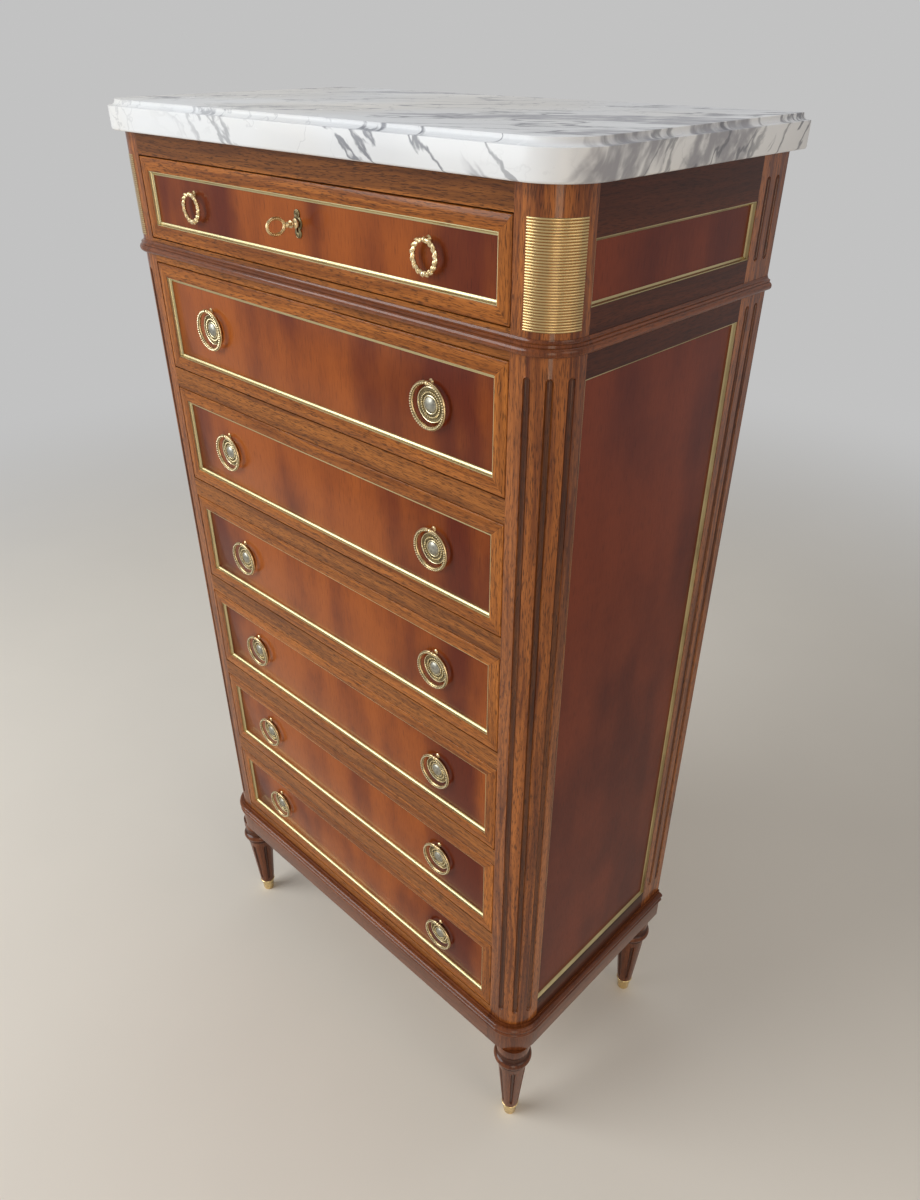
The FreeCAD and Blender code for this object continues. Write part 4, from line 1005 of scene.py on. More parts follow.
@dataclass(frozen=True)
class Flutes:
    """Round flutes cut by a gouge along an upright face, ending in round hollows.

    Attributes:
        middles: Distances of their middle lines along the face.
        lengths: Lower and upper end of each row of flutes.
        gouge: Radius of the gouge.
        outset: Its axis in front of the face.
        least: Half the width where a flute has ended.
        margin: Plain face beside and beyond a flute that holds no other point of the mesh.
        across: Steps across a flute.
        end_rows: Rows in a round end.
    """

    middles: list[float]
    lengths: list[Pair]
    gouge: float = 4.2
    outset: float = 0.8
    least: float = 0.15
    margin: Pair = (0.4, 0.6)
    across: int = 10
    end_rows: int = 8

    def half_width(self, beyond: np.ndarray) -> np.ndarray:
        """Half the flute's width: the root of gouge², less outset² and beyond²."""
        square = self.gouge**2 - self.outset**2 - np.minimum(beyond, self.gouge) ** 2
        return np.sqrt(np.maximum(square, self.least**2))

    def depth(self, aside: np.ndarray, beyond: np.ndarray) -> np.ndarray:
        """Depth of the flute: the root of gouge², less aside² and beyond², then less the outset."""
        square = self.gouge**2 - aside**2 - beyond**2
        return np.maximum(np.sqrt(np.maximum(square, 0)) - self.outset, 0)

    def shape(self, plain: np.ndarray) -> tuple[np.ndarray, np.ndarray, np.ndarray]:
        """Works out the face from the plinth to the case's top.

        The columns are the plain ones outside the flutes and a sine-spaced fan across each flute. The rows
        are crowded towards the flutes' ends, where the fan narrows.

        Args:
            plain: Distances of the columns between the flutes.

        Returns:
            Heights of the rows, distance along the face and depth for each point of the mesh.
        """
        reach = float(self.half_width(np.zeros(1))[0])
        fan = np.sin(np.linspace(-math.pi / 2, math.pi / 2, self.across + 1))
        columns = [(spot, np.nan) for spot in plain
                   if all(abs(spot - middle) > reach + self.margin[0] for middle in self.middles)]
        columns += [(middle, part) for middle in self.middles for part in fan]
        columns.sort(key=lambda column: column[0] + np.nan_to_num(column[1]) * reach)
        spot, share = np.array(columns).T

        ends = np.sin(np.linspace(0, math.pi / 2, self.end_rows)) * reach
        rows = [(CASE.plinth_top, np.inf), (CASE.case_top, np.inf)]
        for start, end in self.lengths:
            for level, sign in ((start + self.gouge, -1), (end - self.gouge, 1)):
                rows += [(level + sign * step, step) for step in ends]
                rows.append((level + sign * (self.gouge + self.margin[1]), np.inf))
        height, beyond = np.array(sorted(rows)).T

        plain_row, plain_column = np.isinf(beyond)[:, None], np.isnan(share)[None]
        past = np.where(plain_row, 0, beyond[:, None])
        aside = np.nan_to_num(share) * self.half_width(past)
        return height, spot + aside, np.where(plain_row | plain_column, 0, self.depth(aside, past))


# ---------------------------------------------------------------------------------------------
# The case
# ---------------------------------------------------------------------------------------------
@dataclass(frozen=True)
class MarbleTop:
    """The slab: round front corners and a cove under its top arris."""

    front: float = 14.0
    side: float = 16.0
    rear: float = 3.0
    corner: float = 54.0
    thickness: float = 33.0
    step: float = 9.0
    cove: float = 6.0
    lower_round: float = 2.5
    underside: float = 8.5
    arris: float = 0.5
    top_arris: float = 0.3

    def outline(self, inset: float) -> np.ndarray:
        """The slab's outline, its front and sides moved in by inset: two arcs and two rear corners.

        Args:
            inset: How far they are moved in.

        Returns:
            Rows of (x, y), from the right front corner round to the left.
        """
        side = CASE.half_width + self.side - inset
        rear = CASE.back + self.rear
        radius = self.corner - inset
        y = CASE.front - self.front + inset + radius
        right = arc((side - radius, y), radius, -90, 0, 28)
        left = arc((radius - side, y), radius, 180, 270, 28)
        return np.concatenate([right, [(side, rear), (-side, rear)], left])

    def levels(self) -> np.ndarray:
        """Rows of (inset, height) up the slab's edge: lower round, arris, cove and upper arris.

        Returns:
            The rows, from the underside up.
        """
        low, high = CASE.case_top, CASE.case_top + self.thickness
        ledge = high - self.arris - self.cove
        return np.concatenate([
            [(self.underside, low)],
            arc((self.lower_round, low + self.lower_round), self.lower_round, 270, 180, 6),
            arc((self.arris, ledge - self.arris), self.arris, 180, 90, 3),
            arc((self.step - self.cove, ledge + self.cove), self.cove, -90, 0, 8),
            arc((self.step + self.top_arris, high - self.top_arris), self.top_arris, 180, 90, 3),
        ])

    def build(self, finishes: Finishes) -> None:
        """Makes the slab: its outline at each level.

        Args:
            finishes: The chest's finishes.
        """
        levels = self.levels()
        slab = loft(raised(np.array([self.outline(inset) for inset in levels[:, 0]]), levels[:, 1:]))
        Piece("marble_slab", CARCASS, "marble", ["marble_top"]).add(slab, finishes.marble).build()


@dataclass(frozen=True)
class Posts:
    """Front posts with three flutes each, and rear stiles with two.

    Attributes:
        turn: Degrees that a post's middle flute lies from its diagonal.
        spread: Degrees between its flutes.
        flute_foot: Start of its flutes over the plinth.
        flute_head: Their end under the girdle.
        lower_reach: Start and end of a stile's lower flutes over the lower panel's foot and head.
        frieze_reach: The same of its upper flutes and the frieze panel.
        plate_angle: Degrees that a ribbed plate covers.
        valley: Depth of the valleys between its ribs under the post's face.
        rib_sharpness: Power of the sine that rounds a rib.
    """

    turn: float = 3.0
    spread: float = 31.5
    flute_foot: float = 26.0
    flute_head: float = 20.0
    stile_pitch: float = 19.0
    lower_reach: Pair = (5.0, 14.0)
    frieze_reach: Pair = (-4.0, 22.0)
    plate_angle: float = 81.0
    plate_inset: float = 1.6
    plate_relief: float = 0.6
    plate_margin: float = 1.0
    ribs: int = 39
    rib_steps: int = 7
    valley: float = 0.35
    rib_sharpness: float = 0.7

    def upright(
        self, face: np.ndarray, height: np.ndarray, depth: np.ndarray, rear: list[Pair], plank: int
    ) -> Surface:
        """A fluted upright: its face closed by a few points behind it, one loop at each height.

        Args:
            face: Array of (row, point, xy).
            height: Height of each row.
            depth: How deep each point of the face lies in a flute.
            rear: The points behind the face.
            plank: Number of its plank.

        Returns:
            The upright with its flutes marked for painted shade.
        """
        behind = np.broadcast_to(rear, (len(height), len(rear), 2))
        loops = raised(np.concatenate([face, behind], axis=1), height[:, None])
        return loft(loops).marked_for_hollow_shade(np.pad(depth, ((0, 0), (0, len(rear))))).sawn(Grain.UPRIGHT, plank)

    def post(self) -> Surface:
        """The right front post: the corner's line pushed in by the flutes' depth.

        Returns:
            The post with its flutes and plank.
        """
        middle = CASE.post_front_flat + CASE.corner_radius * math.radians(45 - self.turn)
        pitch = math.radians(self.spread) * CASE.corner_radius
        length = (CASE.plinth_top + self.flute_foot, CASE.girdle_bottom - self.flute_head)
        flutes = Flutes([middle - pitch, middle, middle + pitch], [length])
        height, distance, depth = flutes.shape(corner_columns(22))
        place, out = corner_line(distance)
        rear = [(CASE.opening_half, CASE.side_front)]
        return self.upright(place - out * depth[..., None], height, depth, rear, 11)

    def stile(self) -> Surface:
        """The right rear stile: a flat face pushed in by its flutes, rebated for the back panel.

        Returns:
            The stile with its flutes and plank.
        """
        middle, pitch = CASE.stile_width / 2, self.stile_pitch / 2
        reaches = ((CASE.lower_panel, self.lower_reach), (CASE.frieze_panel, self.frieze_reach))
        lengths = [(low + start, high + end) for (low, high), (start, end) in reaches]
        flutes = Flutes([middle - pitch, middle + pitch], lengths)
        height, distance, depth = flutes.shape(np.linspace(0, CASE.stile_width, 12))
        face = np.stack([CASE.half_width - depth, CASE.stile_front + distance], axis=-1)
        inner = CASE.half_width - CASE.frame_thickness
        rebate, panel_front = inner + CASE.back_rebate, CASE.back - CASE.back_panel
        rear = [(rebate, CASE.back), (rebate, panel_front), (inner, panel_front), (inner, CASE.stile_front)]
        return self.upright(face, height, depth, rear, 12)

    def plate(self) -> Surface:
        """The right ribbed plate: an arc whose radius swells with a sine for each rib, one over the other.

        Returns:
            The plate.
        """
        low = CASE.frieze_bottom + self.plate_margin
        high = CASE.frieze_bottom + CASE.frieze_opening - self.plate_margin
        share = np.linspace(0, 1, self.ribs * self.rib_steps + 1)[:, None]
        swell = np.abs(np.sin(share * self.ribs * math.pi)) ** self.rib_sharpness
        outer = CASE.corner_radius - self.valley + (self.plate_relief + self.valley) * swell
        angle = np.radians(-45 - self.turn + np.linspace(-0.5, 0.5, 29) * self.plate_angle)
        radius = np.where(np.arange(58) < 29, outer, CASE.corner_radius - self.plate_inset)
        ring = round_upright(np.concatenate([angle, angle[::-1]]), radius, low + share * (high - low))
        return loft(ring + (*CASE.axis, 0))

    def build(self, finishes: Finishes) -> None:
        """Makes the posts, stiles and ribbed plates.

        Args:
            finishes: The chest's finishes.
        """
        for name, slot, node, shape, finish in (
            ("fluted_posts", "mahogany", "front_posts", self.post, finishes.post),
            ("fluted_stiles", "mahogany", "rear_stiles", self.stile, finishes.post),
            ("ribbed_corner_plates", "brass", "ribbed_plates", self.plate, finishes.plate),
        ):
            pair = [shape().on_side(sign) for sign in SIDES.values()]
            Piece(name, CARCASS, slot, [node]).add(pair, finish).build()


@dataclass(frozen=True)
class Mouldings:
    """Girdle moulding and plinth."""

    girdle_reach: float = 2.5
    girdle_torus: float = 4.5
    girdle_fillet: float = 4.0
    girdle_fillet_height: float = 2.5
    girdle_height: float = 15.0
    girdle_tongue: float = 2.0
    plinth_reach: float = 5.0
    plinth_thickness: float = 20.0
    plinth_face: float = 38.0
    plinth_arris: float = 1.0
    lower_bead: float = 4.0
    upper_bead: float = 5.0
    upper_bead_inset: float = 0.5
    top_inset: float = 2.5
    bead_fillet: float = 1.0
    board: float = 12.0
    corner_block: float = 14.0
    block_inset: float = 2.0
    block_ease: float = 0.6

    def girdle(self) -> np.ndarray:
        """The girdle's section: torus, fillet and cove.

        Returns:
            Rows of (distance out of the case, height).
        """
        low, high = CASE.girdle_bottom, CASE.girdle_bottom + self.girdle_height
        torus_top = low + 2 * self.girdle_torus
        fillet_top = torus_top + self.girdle_fillet_height
        return np.concatenate([
            [(-self.girdle_tongue, low)],
            arc((self.girdle_reach, low + self.girdle_torus), self.girdle_torus, -90, 90, 12),
            [(self.girdle_fillet, torus_top), (self.girdle_fillet, fillet_top)],
            arc((self.girdle_fillet, high), high - fillet_top, -90, -180, 5),
            [(-self.girdle_tongue, high)],
        ])

    def plinth(self) -> np.ndarray:
        """The plinth's section: a plain face under two beads.

        Returns:
            Rows of (distance out of the case, height).
        """
        low, high, reach, arris = CASE.foot_height, CASE.plinth_top, self.plinth_reach, self.plinth_arris
        rear, inset = reach - self.plinth_thickness, reach - self.upper_bead_inset
        lower = low + self.plinth_face
        lower_top = lower + 2 * self.lower_bead
        upper = lower_top + self.bead_fillet
        top = reach - self.top_inset
        return np.concatenate([
            [(rear, low)],
            arc((reach - arris, low + arris), arris, -90, 0, 3),
            arc((reach, lower + self.lower_bead), self.lower_bead, -90, 90, 10),
            [(inset, lower_top)],
            arc((inset, upper + self.upper_bead), self.upper_bead, -90, 90, 12),
            [(top, upper + 2 * self.upper_bead), (top, high), (rear, high)],
        ])

    def plinth_blocks(self) -> list[Surface]:
        """The plain rear rail, and on each side the corner block behind the moulding and the rear block.

        Returns:
            The rail and the four blocks, each sawn from a plank.
        """
        low, high, ease, width = CASE.foot_height, CASE.plinth_top, self.block_ease, CASE.stile_width
        inner = CASE.half_width + self.plinth_reach - self.plinth_thickness
        rear = CASE.back - self.plinth_thickness
        front_block = block((CASE.opening_half, CASE.front + self.block_inset, low),
                            (CASE.axis[0] + self.corner_block, CASE.side_front, high), ease)
        rear_block = block((inner - width, rear - width, low), (inner, rear, high - self.board), ease)
        pair = [front_block.sawn(Grain.UPRIGHT, 42), rear_block.sawn(Grain.UPRIGHT, 43)]
        rail = block((-inner, rear, low), (inner, CASE.back, high), ease).sawn(Grain.LENGTHWISE, 41)
        return [rail] + [part.on_side(sign) for sign in SIDES.values() for part in pair]

    def build(self, finishes: Finishes) -> None:
        """Makes the girdle moulding and the plinth.

        Args:
            finishes: The chest's finishes.
        """
        girdle = Piece("girdle", CARCASS, "mahogany", ["girdle_moulding"])
        girdle.add(Moulding(self.girdle(), 21).surfaces(), finishes.moulding).build()
        plinth = Piece("moulded_plinth", CARCASS, "mahogany", ["plinth"])
        plinth.add(Moulding(self.plinth(), 31).surfaces() + self.plinth_blocks(), finishes.moulding).build()


@dataclass(frozen=True)
class Feet:
    """Turned, tapered and fluted feet in brass sabots.

    Attributes:
        inset: A front foot's axis inside the case's front and side.
        rear_inset: A rear foot's axis inside the case's back.
        flute_share: Half a flute's width as a share of the taper's radius.
        flute_ends: Heights of a flute's lower and upper round ends.
        least_end: Share of its width that a flute keeps at its very end.
        first_flute: Where the first flute lies, in degrees round the foot.
        flute_margin: From a flute's end to the plain row of points beyond it.
        core: Radius of the dowel that the head stands on.
        head_lap: How far the head reaches down into the taper.
        head_inset: Its foot inside the taper's face, at the foot's end and at the taper's.
        neck_foot: Plain neck under the collar.
        hollow: Radius of the hollow round the throat.
        hollow_sink: How far it is sunk into the throat.
        throat_end: Where the throat ends, outside its radius and under the drum.
        drum_edge: Start of the drum inside and under its edge.
        shade: How far inside the collar's radius the head starts to be marked for painted shade.
        shoe_lap: How far the taper stands in the shoe.
        rim_drop: Middle of the shoe's rim under its top.
    """

    SOLE = ((-1.0, 0.0), (-0.2, 0.3), (0.0, 1.0))

    inset: float = 24.0
    rear_inset: float = 27.0
    drum: float = 26.5
    drum_low: float = 188.0
    throat: float = 24.3
    collar: float = 30.0
    collar_middle: float = 166.0
    collar_bead: float = 8.0
    neck: float = 23.4
    ring: float = 25.3
    ring_middle: float = 153.5
    ring_bead: float = 2.5
    shaft_high: float = 151.0
    shaft_top: float = 23.4
    shaft_bottom: float = 12.4
    taper_foot: float = 17.0
    sabot_height: float = 28.0
    sabot_top: float = 12.4
    sabot_bottom: float = 10.0
    sabot_rim: float = 14.2
    rim_bead: float = 1.7
    core: float = 8.0
    head_lap: float = 2.0
    head_inset: Pair = (0.4, 0.3)
    neck_foot: float = 1.6
    collar_lip: float = 0.2
    hollow: float = 9.4
    hollow_sink: float = 0.4
    throat_end: Pair = (0.4, 1.5)
    drum_edge: Pair = (1.2, 0.6)
    drum_arris: float = 0.8
    shade: float = 2.0
    shoe_lap: float = 1.0
    shoe_wall: float = 1.0
    rim_drop: float = 1.8
    rim_gap: float = 0.2
    least_end: float = 0.04
    flutes: int = 6
    flute_low: float = 38.0
    flute_high: float = 140.0
    flute_share: float = 0.16
    flute_margin: float = 0.8
    first_flute: float = -45.0
    flute_ends: Pair = (5.0, 4.0)
    sides: int = 64

    def head(self) -> Surface:
        """Drum, throat, collar and ring over the taper, turned. Its parts under the drum, inside the collar's
        edge, are marked for painted shade.

        Returns:
            The head on the upright axis.
        """
        low, arris, (flare, throat_drop) = self.shaft_high, self.drum_arris, self.throat_end
        foot, (end_inset, inset), (edge, drop) = low - self.head_lap, self.head_inset, self.drum_edge
        throat_high = self.drum_low - throat_drop
        collar_low, collar_high = self.collar_middle - self.collar_bead, self.collar_middle + self.collar_bead
        hollow = (self.throat + self.hollow - self.hollow_sink, (collar_high + throat_high) / 2)
        outline = np.concatenate([
            [(self.core, foot), (self.shaft_top - end_inset, foot), (self.shaft_top - inset, low)],
            arc((self.ring - self.ring_bead, self.ring_middle), self.ring_bead, -75, 75, 7),
            [(self.neck, collar_low - self.neck_foot), (self.neck, collar_low)],
            arc((self.collar - self.collar_bead, self.collar_middle), self.collar_bead, -80, 72, 14),
            [(self.throat, collar_high + self.collar_lip)],
            arc(hollow, self.hollow, 222, 138, 8)[1:-1],
            [(self.throat + flare, throat_high), (self.drum - edge, self.drum_low - drop)],
            arc((self.drum - arris, self.drum_low + arris / 2), arris, -60, 0, 3),
            [(self.drum, CASE.foot_height)],
        ])
        # Painted shade: the head under the drum, inside the collar's edge, is darkened as if shaded by the
        # drum.
        hidden = (outline[:, 1] < self.drum_low - arris) & (outline[:, 0] < self.collar - self.shade)
        return turned(outline, self.sides).marked_for_hollow_shade(np.repeat(hidden.astype(float), self.sides))

    def shaft(self) -> Surface:
        """The fluted taper: its radius less a half round across each flute, which fades at the ends.

        Returns:
            The taper on the upright axis, with its flutes.
        """
        low, high, (low_end, high_end) = self.flute_low, self.flute_high, self.flute_ends
        curve = 1 - np.cos(np.linspace(0, math.pi / 2, 8))
        heights = np.sort(np.concatenate([
            [self.sabot_height - self.shoe_lap, low - self.flute_margin], low + low_end * curve,
            np.linspace(low + low_end, high - high_end, 8)[1:-1],
            high - high_end * curve, [high + self.flute_margin, self.shaft_high],
        ]))[:, None]
        opening = np.clip((heights - low) / low_end, 0, 1)
        closing = np.clip((high - heights) / high_end, 0, 1)
        inside = (heights >= low) & (heights <= high)
        round_end = np.sqrt(1 - (1 - opening) ** 2) * np.sqrt(1 - (1 - closing) ** 2)
        width = np.where(inside, np.maximum(round_end, self.least_end), 1.0) * self.flute_share
        rise = (heights - self.taper_foot) / (self.shaft_high - self.taper_foot)
        radius = self.shaft_bottom + (self.shaft_top - self.shaft_bottom) * rise

        fan = np.sin(np.linspace(-math.pi / 2, math.pi / 2, 11))
        sector = 2 * math.pi / self.flutes
        land = np.linspace(self.flute_share, sector - self.flute_share, 9)[1:-1]
        between = np.broadcast_to(land, (len(heights), len(land)))
        part = np.concatenate([fan * width, between], axis=1)
        middles = math.radians(self.first_flute) + sector * np.arange(self.flutes)
        angle = (part[:, None, :] + middles[:, None]).reshape(len(heights), -1)
        across = np.tile(np.concatenate([np.sqrt(1 - fan**2), np.zeros(len(land))]), self.flutes)
        depth = self.flute_share * radius * across * np.where(inside, round_end, 0.0)
        return loft(round_upright(angle, radius - depth, heights)).marked_for_hollow_shade(depth)

    def sabot(self) -> Surface:
        """The brass shoe, turned: a tapered cup with a rounded rim.

        SOLE is its foot's outline as (radius less the foot's, height).

        Returns:
            The shoe on the upright axis.
        """
        rim = self.sabot_height - self.rim_drop
        return turned(np.concatenate([
            np.array(self.SOLE) + (self.sabot_bottom, 0),
            [(self.sabot_top, rim - self.rim_bead - self.rim_gap)],
            arc((self.sabot_rim - self.rim_bead, rim), self.rim_bead, -70, 80, 8),
            [(self.sabot_top - self.shoe_wall, self.sabot_height)],
        ]), 48)

    def build(self, finishes: Finishes) -> None:
        """Makes the four feet and their sabots.

        Args:
            finishes: The chest's finishes.
        """
        feet = Piece("fluted_feet", CARCASS, "mahogany", ["feet"])
        shoes = Piece("brass_sabots", CARCASS, "brass", ["sabots"])
        x = CASE.half_width - self.inset
        for number, y in enumerate((CASE.front + self.inset, CASE.back - self.rear_inset)):
            foot = [part.moved(x, y).sawn(Grain.UPRIGHT, 51 + number) for part in (self.head(), self.shaft())]
            for sign in SIDES.values():
                feet.add([part.on_side(sign) for part in foot], finishes.moulding)
                shoes.add(self.sabot().moved(x, y).on_side(sign), finishes.shoe)
        feet.build()
        shoes.build()


# ---------------------------------------------------------------------------------------------
# Drawers
# ---------------------------------------------------------------------------------------------
@dataclass(frozen=True)
class Keyhole:
    """A round hole over a slot, where the key enters the top drawer."""

    shank: float = 2.3
    play: float = 0.5
    bit_drop: float = 9.0
    bit_width: float = 2.2

    def reach(self, way: np.ndarray) -> np.ndarray:
        """How far the hole reaches from the key's axis along each direction.

        The round hole's radius, or below the axis the nearer of the slot's wall and floor where that is
        farther.

        Args:
            way: Rows of directions as (x, z).

        Returns:
            A distance for each direction.
        """
        hole = np.full(len(way), self.shank + self.play)
        wall = (self.bit_width / 2 + self.play) / np.maximum(np.abs(way[:, 0]), 1e-6)
        floor = (self.bit_drop + self.play) / np.maximum(-way[:, 1], 1e-6)
        return np.where(way[:, 1] < 0, np.maximum(hole, np.minimum(wall, floor)), hole)


KEYHOLE = Keyhole()


@dataclass(frozen=True)
class DrawerFronts:
    """Veneered boards with mitred frames and brass strips."""

    side_gap: float = 1.2
    upper_gap: float = 1.5
    lower_gap: float = 1.0
    frame: float = 17.0
    frieze_frame: float = 16.0
    relief: float = 5.0
    trim: float = 4.0
    fillet: float = 0.8
    arris: float = 1.1
    inner_arris: float = 0.5
    board_ease: float = 0.3
    mitre: float = 0.1
    trim_mitre: float = 0.05
    frieze_veneer: int = 309
    veneer: int = 307

    @property
    def half(self) -> float:
        """Half the width of a front."""
        return CASE.opening_half - self.side_gap

    def frame_section(self, width: float) -> np.ndarray:
        """Rows of (distance in from the edge, depth behind the frame's face).

        Args:
            width: Of the frame.

        Returns:
            The rows, from the outer edge in.
        """
        inner = self.inner_arris
        return np.concatenate([
            [(0.0, self.relief)], arc((self.arris, self.arris), self.arris, 180, 270, 4),
            arc((width - inner, inner), inner, 270, 360, 2), [(width, self.relief)],
        ])

    def trim_section(self, width: float) -> np.ndarray:
        """The brass strip: a fillet and a quarter round down to the panel, in the frame section's terms.

        Args:
            width: Of the frame that it lies in.

        Returns:
            The rows, from the frame in.
        """
        end, fillet = width + self.trim, width + self.fillet
        high, low = 0.5, 0.9
        return np.concatenate([
            [(width, self.relief), (width, high), (fillet, high), (fillet, low)],
            arc((end, low), end - fillet, 172, 90, 10), [(end, self.relief)],
        ])

    def panel(self, drawer: int, low: float, high: float) -> Surface:
        """The board behind the frame; the top drawer's has the keyhole through it.

        The holed board runs from the keyhole's outline out to the rectangle's edge and round behind.

        Args:
            drawer: Number of the drawer.
            low: Lower edge of the board.
            high: Upper edge.

        Returns:
            The board.
        """
        half, face, rear = self.half, CASE.board_face, CASE.board_face + CASE.board
        if drawer != 1:
            return block((-half, face, low), (half, rear, high), self.board_ease)
        up, down = high - CASE.key_height, low - CASE.key_height
        corners = np.arctan2([up, up, down, down], [half, -half, -half, half]) % (2 * math.pi)
        angle = np.sort(np.concatenate([corners, circle(96)]))
        way = np.stack([np.cos(angle), np.sin(angle)], axis=-1)
        x, z = np.maximum(np.abs(way), NEARLY_ZERO).T
        edge = np.minimum(half / x, np.where(way[:, 1] > 0, up, -down) / z)
        hole = KEYHOLE.reach(way)
        rings = ((hole, face), (edge, face), (edge, rear), (hole, rear))
        board = loft(np.array([round_facing(angle, reach, y) for reach, y in rings]), ring=True)
        return board.moved(z=CASE.key_height)

    def build(self, drawer: int, finishes: Finishes) -> None:
        """Makes one drawer's front.

        Args:
            drawer: Number of the drawer.
            finishes: The chest's finishes.
        """
        low = CASE.opening_bottom(drawer) + self.lower_gap
        high = CASE.opening_bottom(drawer) + CASE.opening_height(drawer) - self.upper_gap
        size = (2 * self.half, high - low)
        middle = (low + high) / 2
        width, veneer = (self.frieze_frame, self.frieze_veneer) if drawer == 1 else (self.frame, self.veneer)
        body = f"drawer_{drawer}"
        front = Piece(f"{body}_panel_and_frame", body, "mahogany", [f"{body}_front"])
        front.add(self.panel(drawer, low, high).sawn(Grain.UPRIGHT, veneer), finishes.flame)
        for number, strip in enumerate(mitred_strips(*size, self.frame_section(width), self.mitre)):
            grain = Grain.LENGTHWISE if number % 2 == 0 else Grain.UPRIGHT
            plank = 110 + 4 * drawer + number
            front.add(strip.moved(y=CASE.front, z=middle).sawn(grain, plank), finishes.strip)
        front.build()
        trims = mitred_strips(*size, self.trim_section(width), self.trim_mitre)
        strips = Piece(f"{body}_brass_strips", body, "brass", [f"{body}_trim"])
        strips.add([trim.moved(y=CASE.front, z=middle) for trim in trims], finishes.trim).build()


@dataclass(frozen=True)
class Pull:
    """A ring that hangs by its pin from a post.

    Attributes:
        outer: Outer radius of the ring.
        band: Width of its band.
        rise: Its centre over the middle of the drawer's opening.
        offset: Its centre from the middle of the drawer.
        stand: The ring's middle plane in front of the panel.
        gap: Half the opening at its top.
        end_lap: How far the ring's ends reach into that opening.
        swell: Radius of the post's head over the post's own.
    """

    outer: float
    band: float
    rise: float
    offset: float = 201.0
    stand: float = 6.5
    pin: float = 1.3
    post: float = 2.5
    nose: float = 2.4
    gap: float = 3.5
    end_lap: float = 0.4
    swell: float = 0.3

    FOOT = ((3.3, 0.0), (3.4, 0.5), (2.9, 1.1), (2.1, 1.7), (1.8, 2.6), (1.8, 3.4))

    @property
    def middle(self) -> float:
        """Radius of the middle of the ring's band."""
        return self.outer - self.band / 2

    @property
    def pin_rise(self) -> float:
        """The pin over the ring's centre."""
        return math.sqrt(self.middle**2 - self.gap**2)

    def turn(self, clearance: float, count: int) -> np.ndarray:
        """Angles round the ring from one side of its opening, widened by a clearance, to the other."""
        opening = math.asin((self.gap + clearance) / self.middle)
        return np.linspace(math.pi / 2 + opening, 2.5 * math.pi - opening, count)

    def open_ring(self, radius: float, depth: float) -> Surface:
        """An oval bar bent to a ring that is open at its top."""
        turn, around = self.turn(-self.end_lap, 96)[:, None], circle(12)[None]
        return loft(round_facing(turn, self.middle + radius * np.cos(around), depth * np.sin(around)))

    def pin_and_eyes(self) -> Surface:
        """The pin across the ring's opening, turned and laid along X, with its ends eased.

        Returns:
            The pin in its place over the ring's centre.
        """
        reach, ease, tip = self.gap + 1.2, 0.5, 0.4
        rod = turned(np.array([
            (tip, -reach), (self.pin, ease - reach), (self.pin, reach - ease), (tip, reach)
        ]), 16)
        return replace(rod, points=rod.points[:, (2, 0, 1)]).moved(z=self.pin_rise)

    def mount(self) -> Surface:
        """The turned post with its round head, standing on the panel.

        Returns:
            The post, facing front.
        """
        ball = self.post + self.swell
        head = arc((0.0, self.stand + self.nose - ball), ball, -50, 84, 10)
        return facing_front(turned(np.concatenate([self.FOOT, head]), 24))


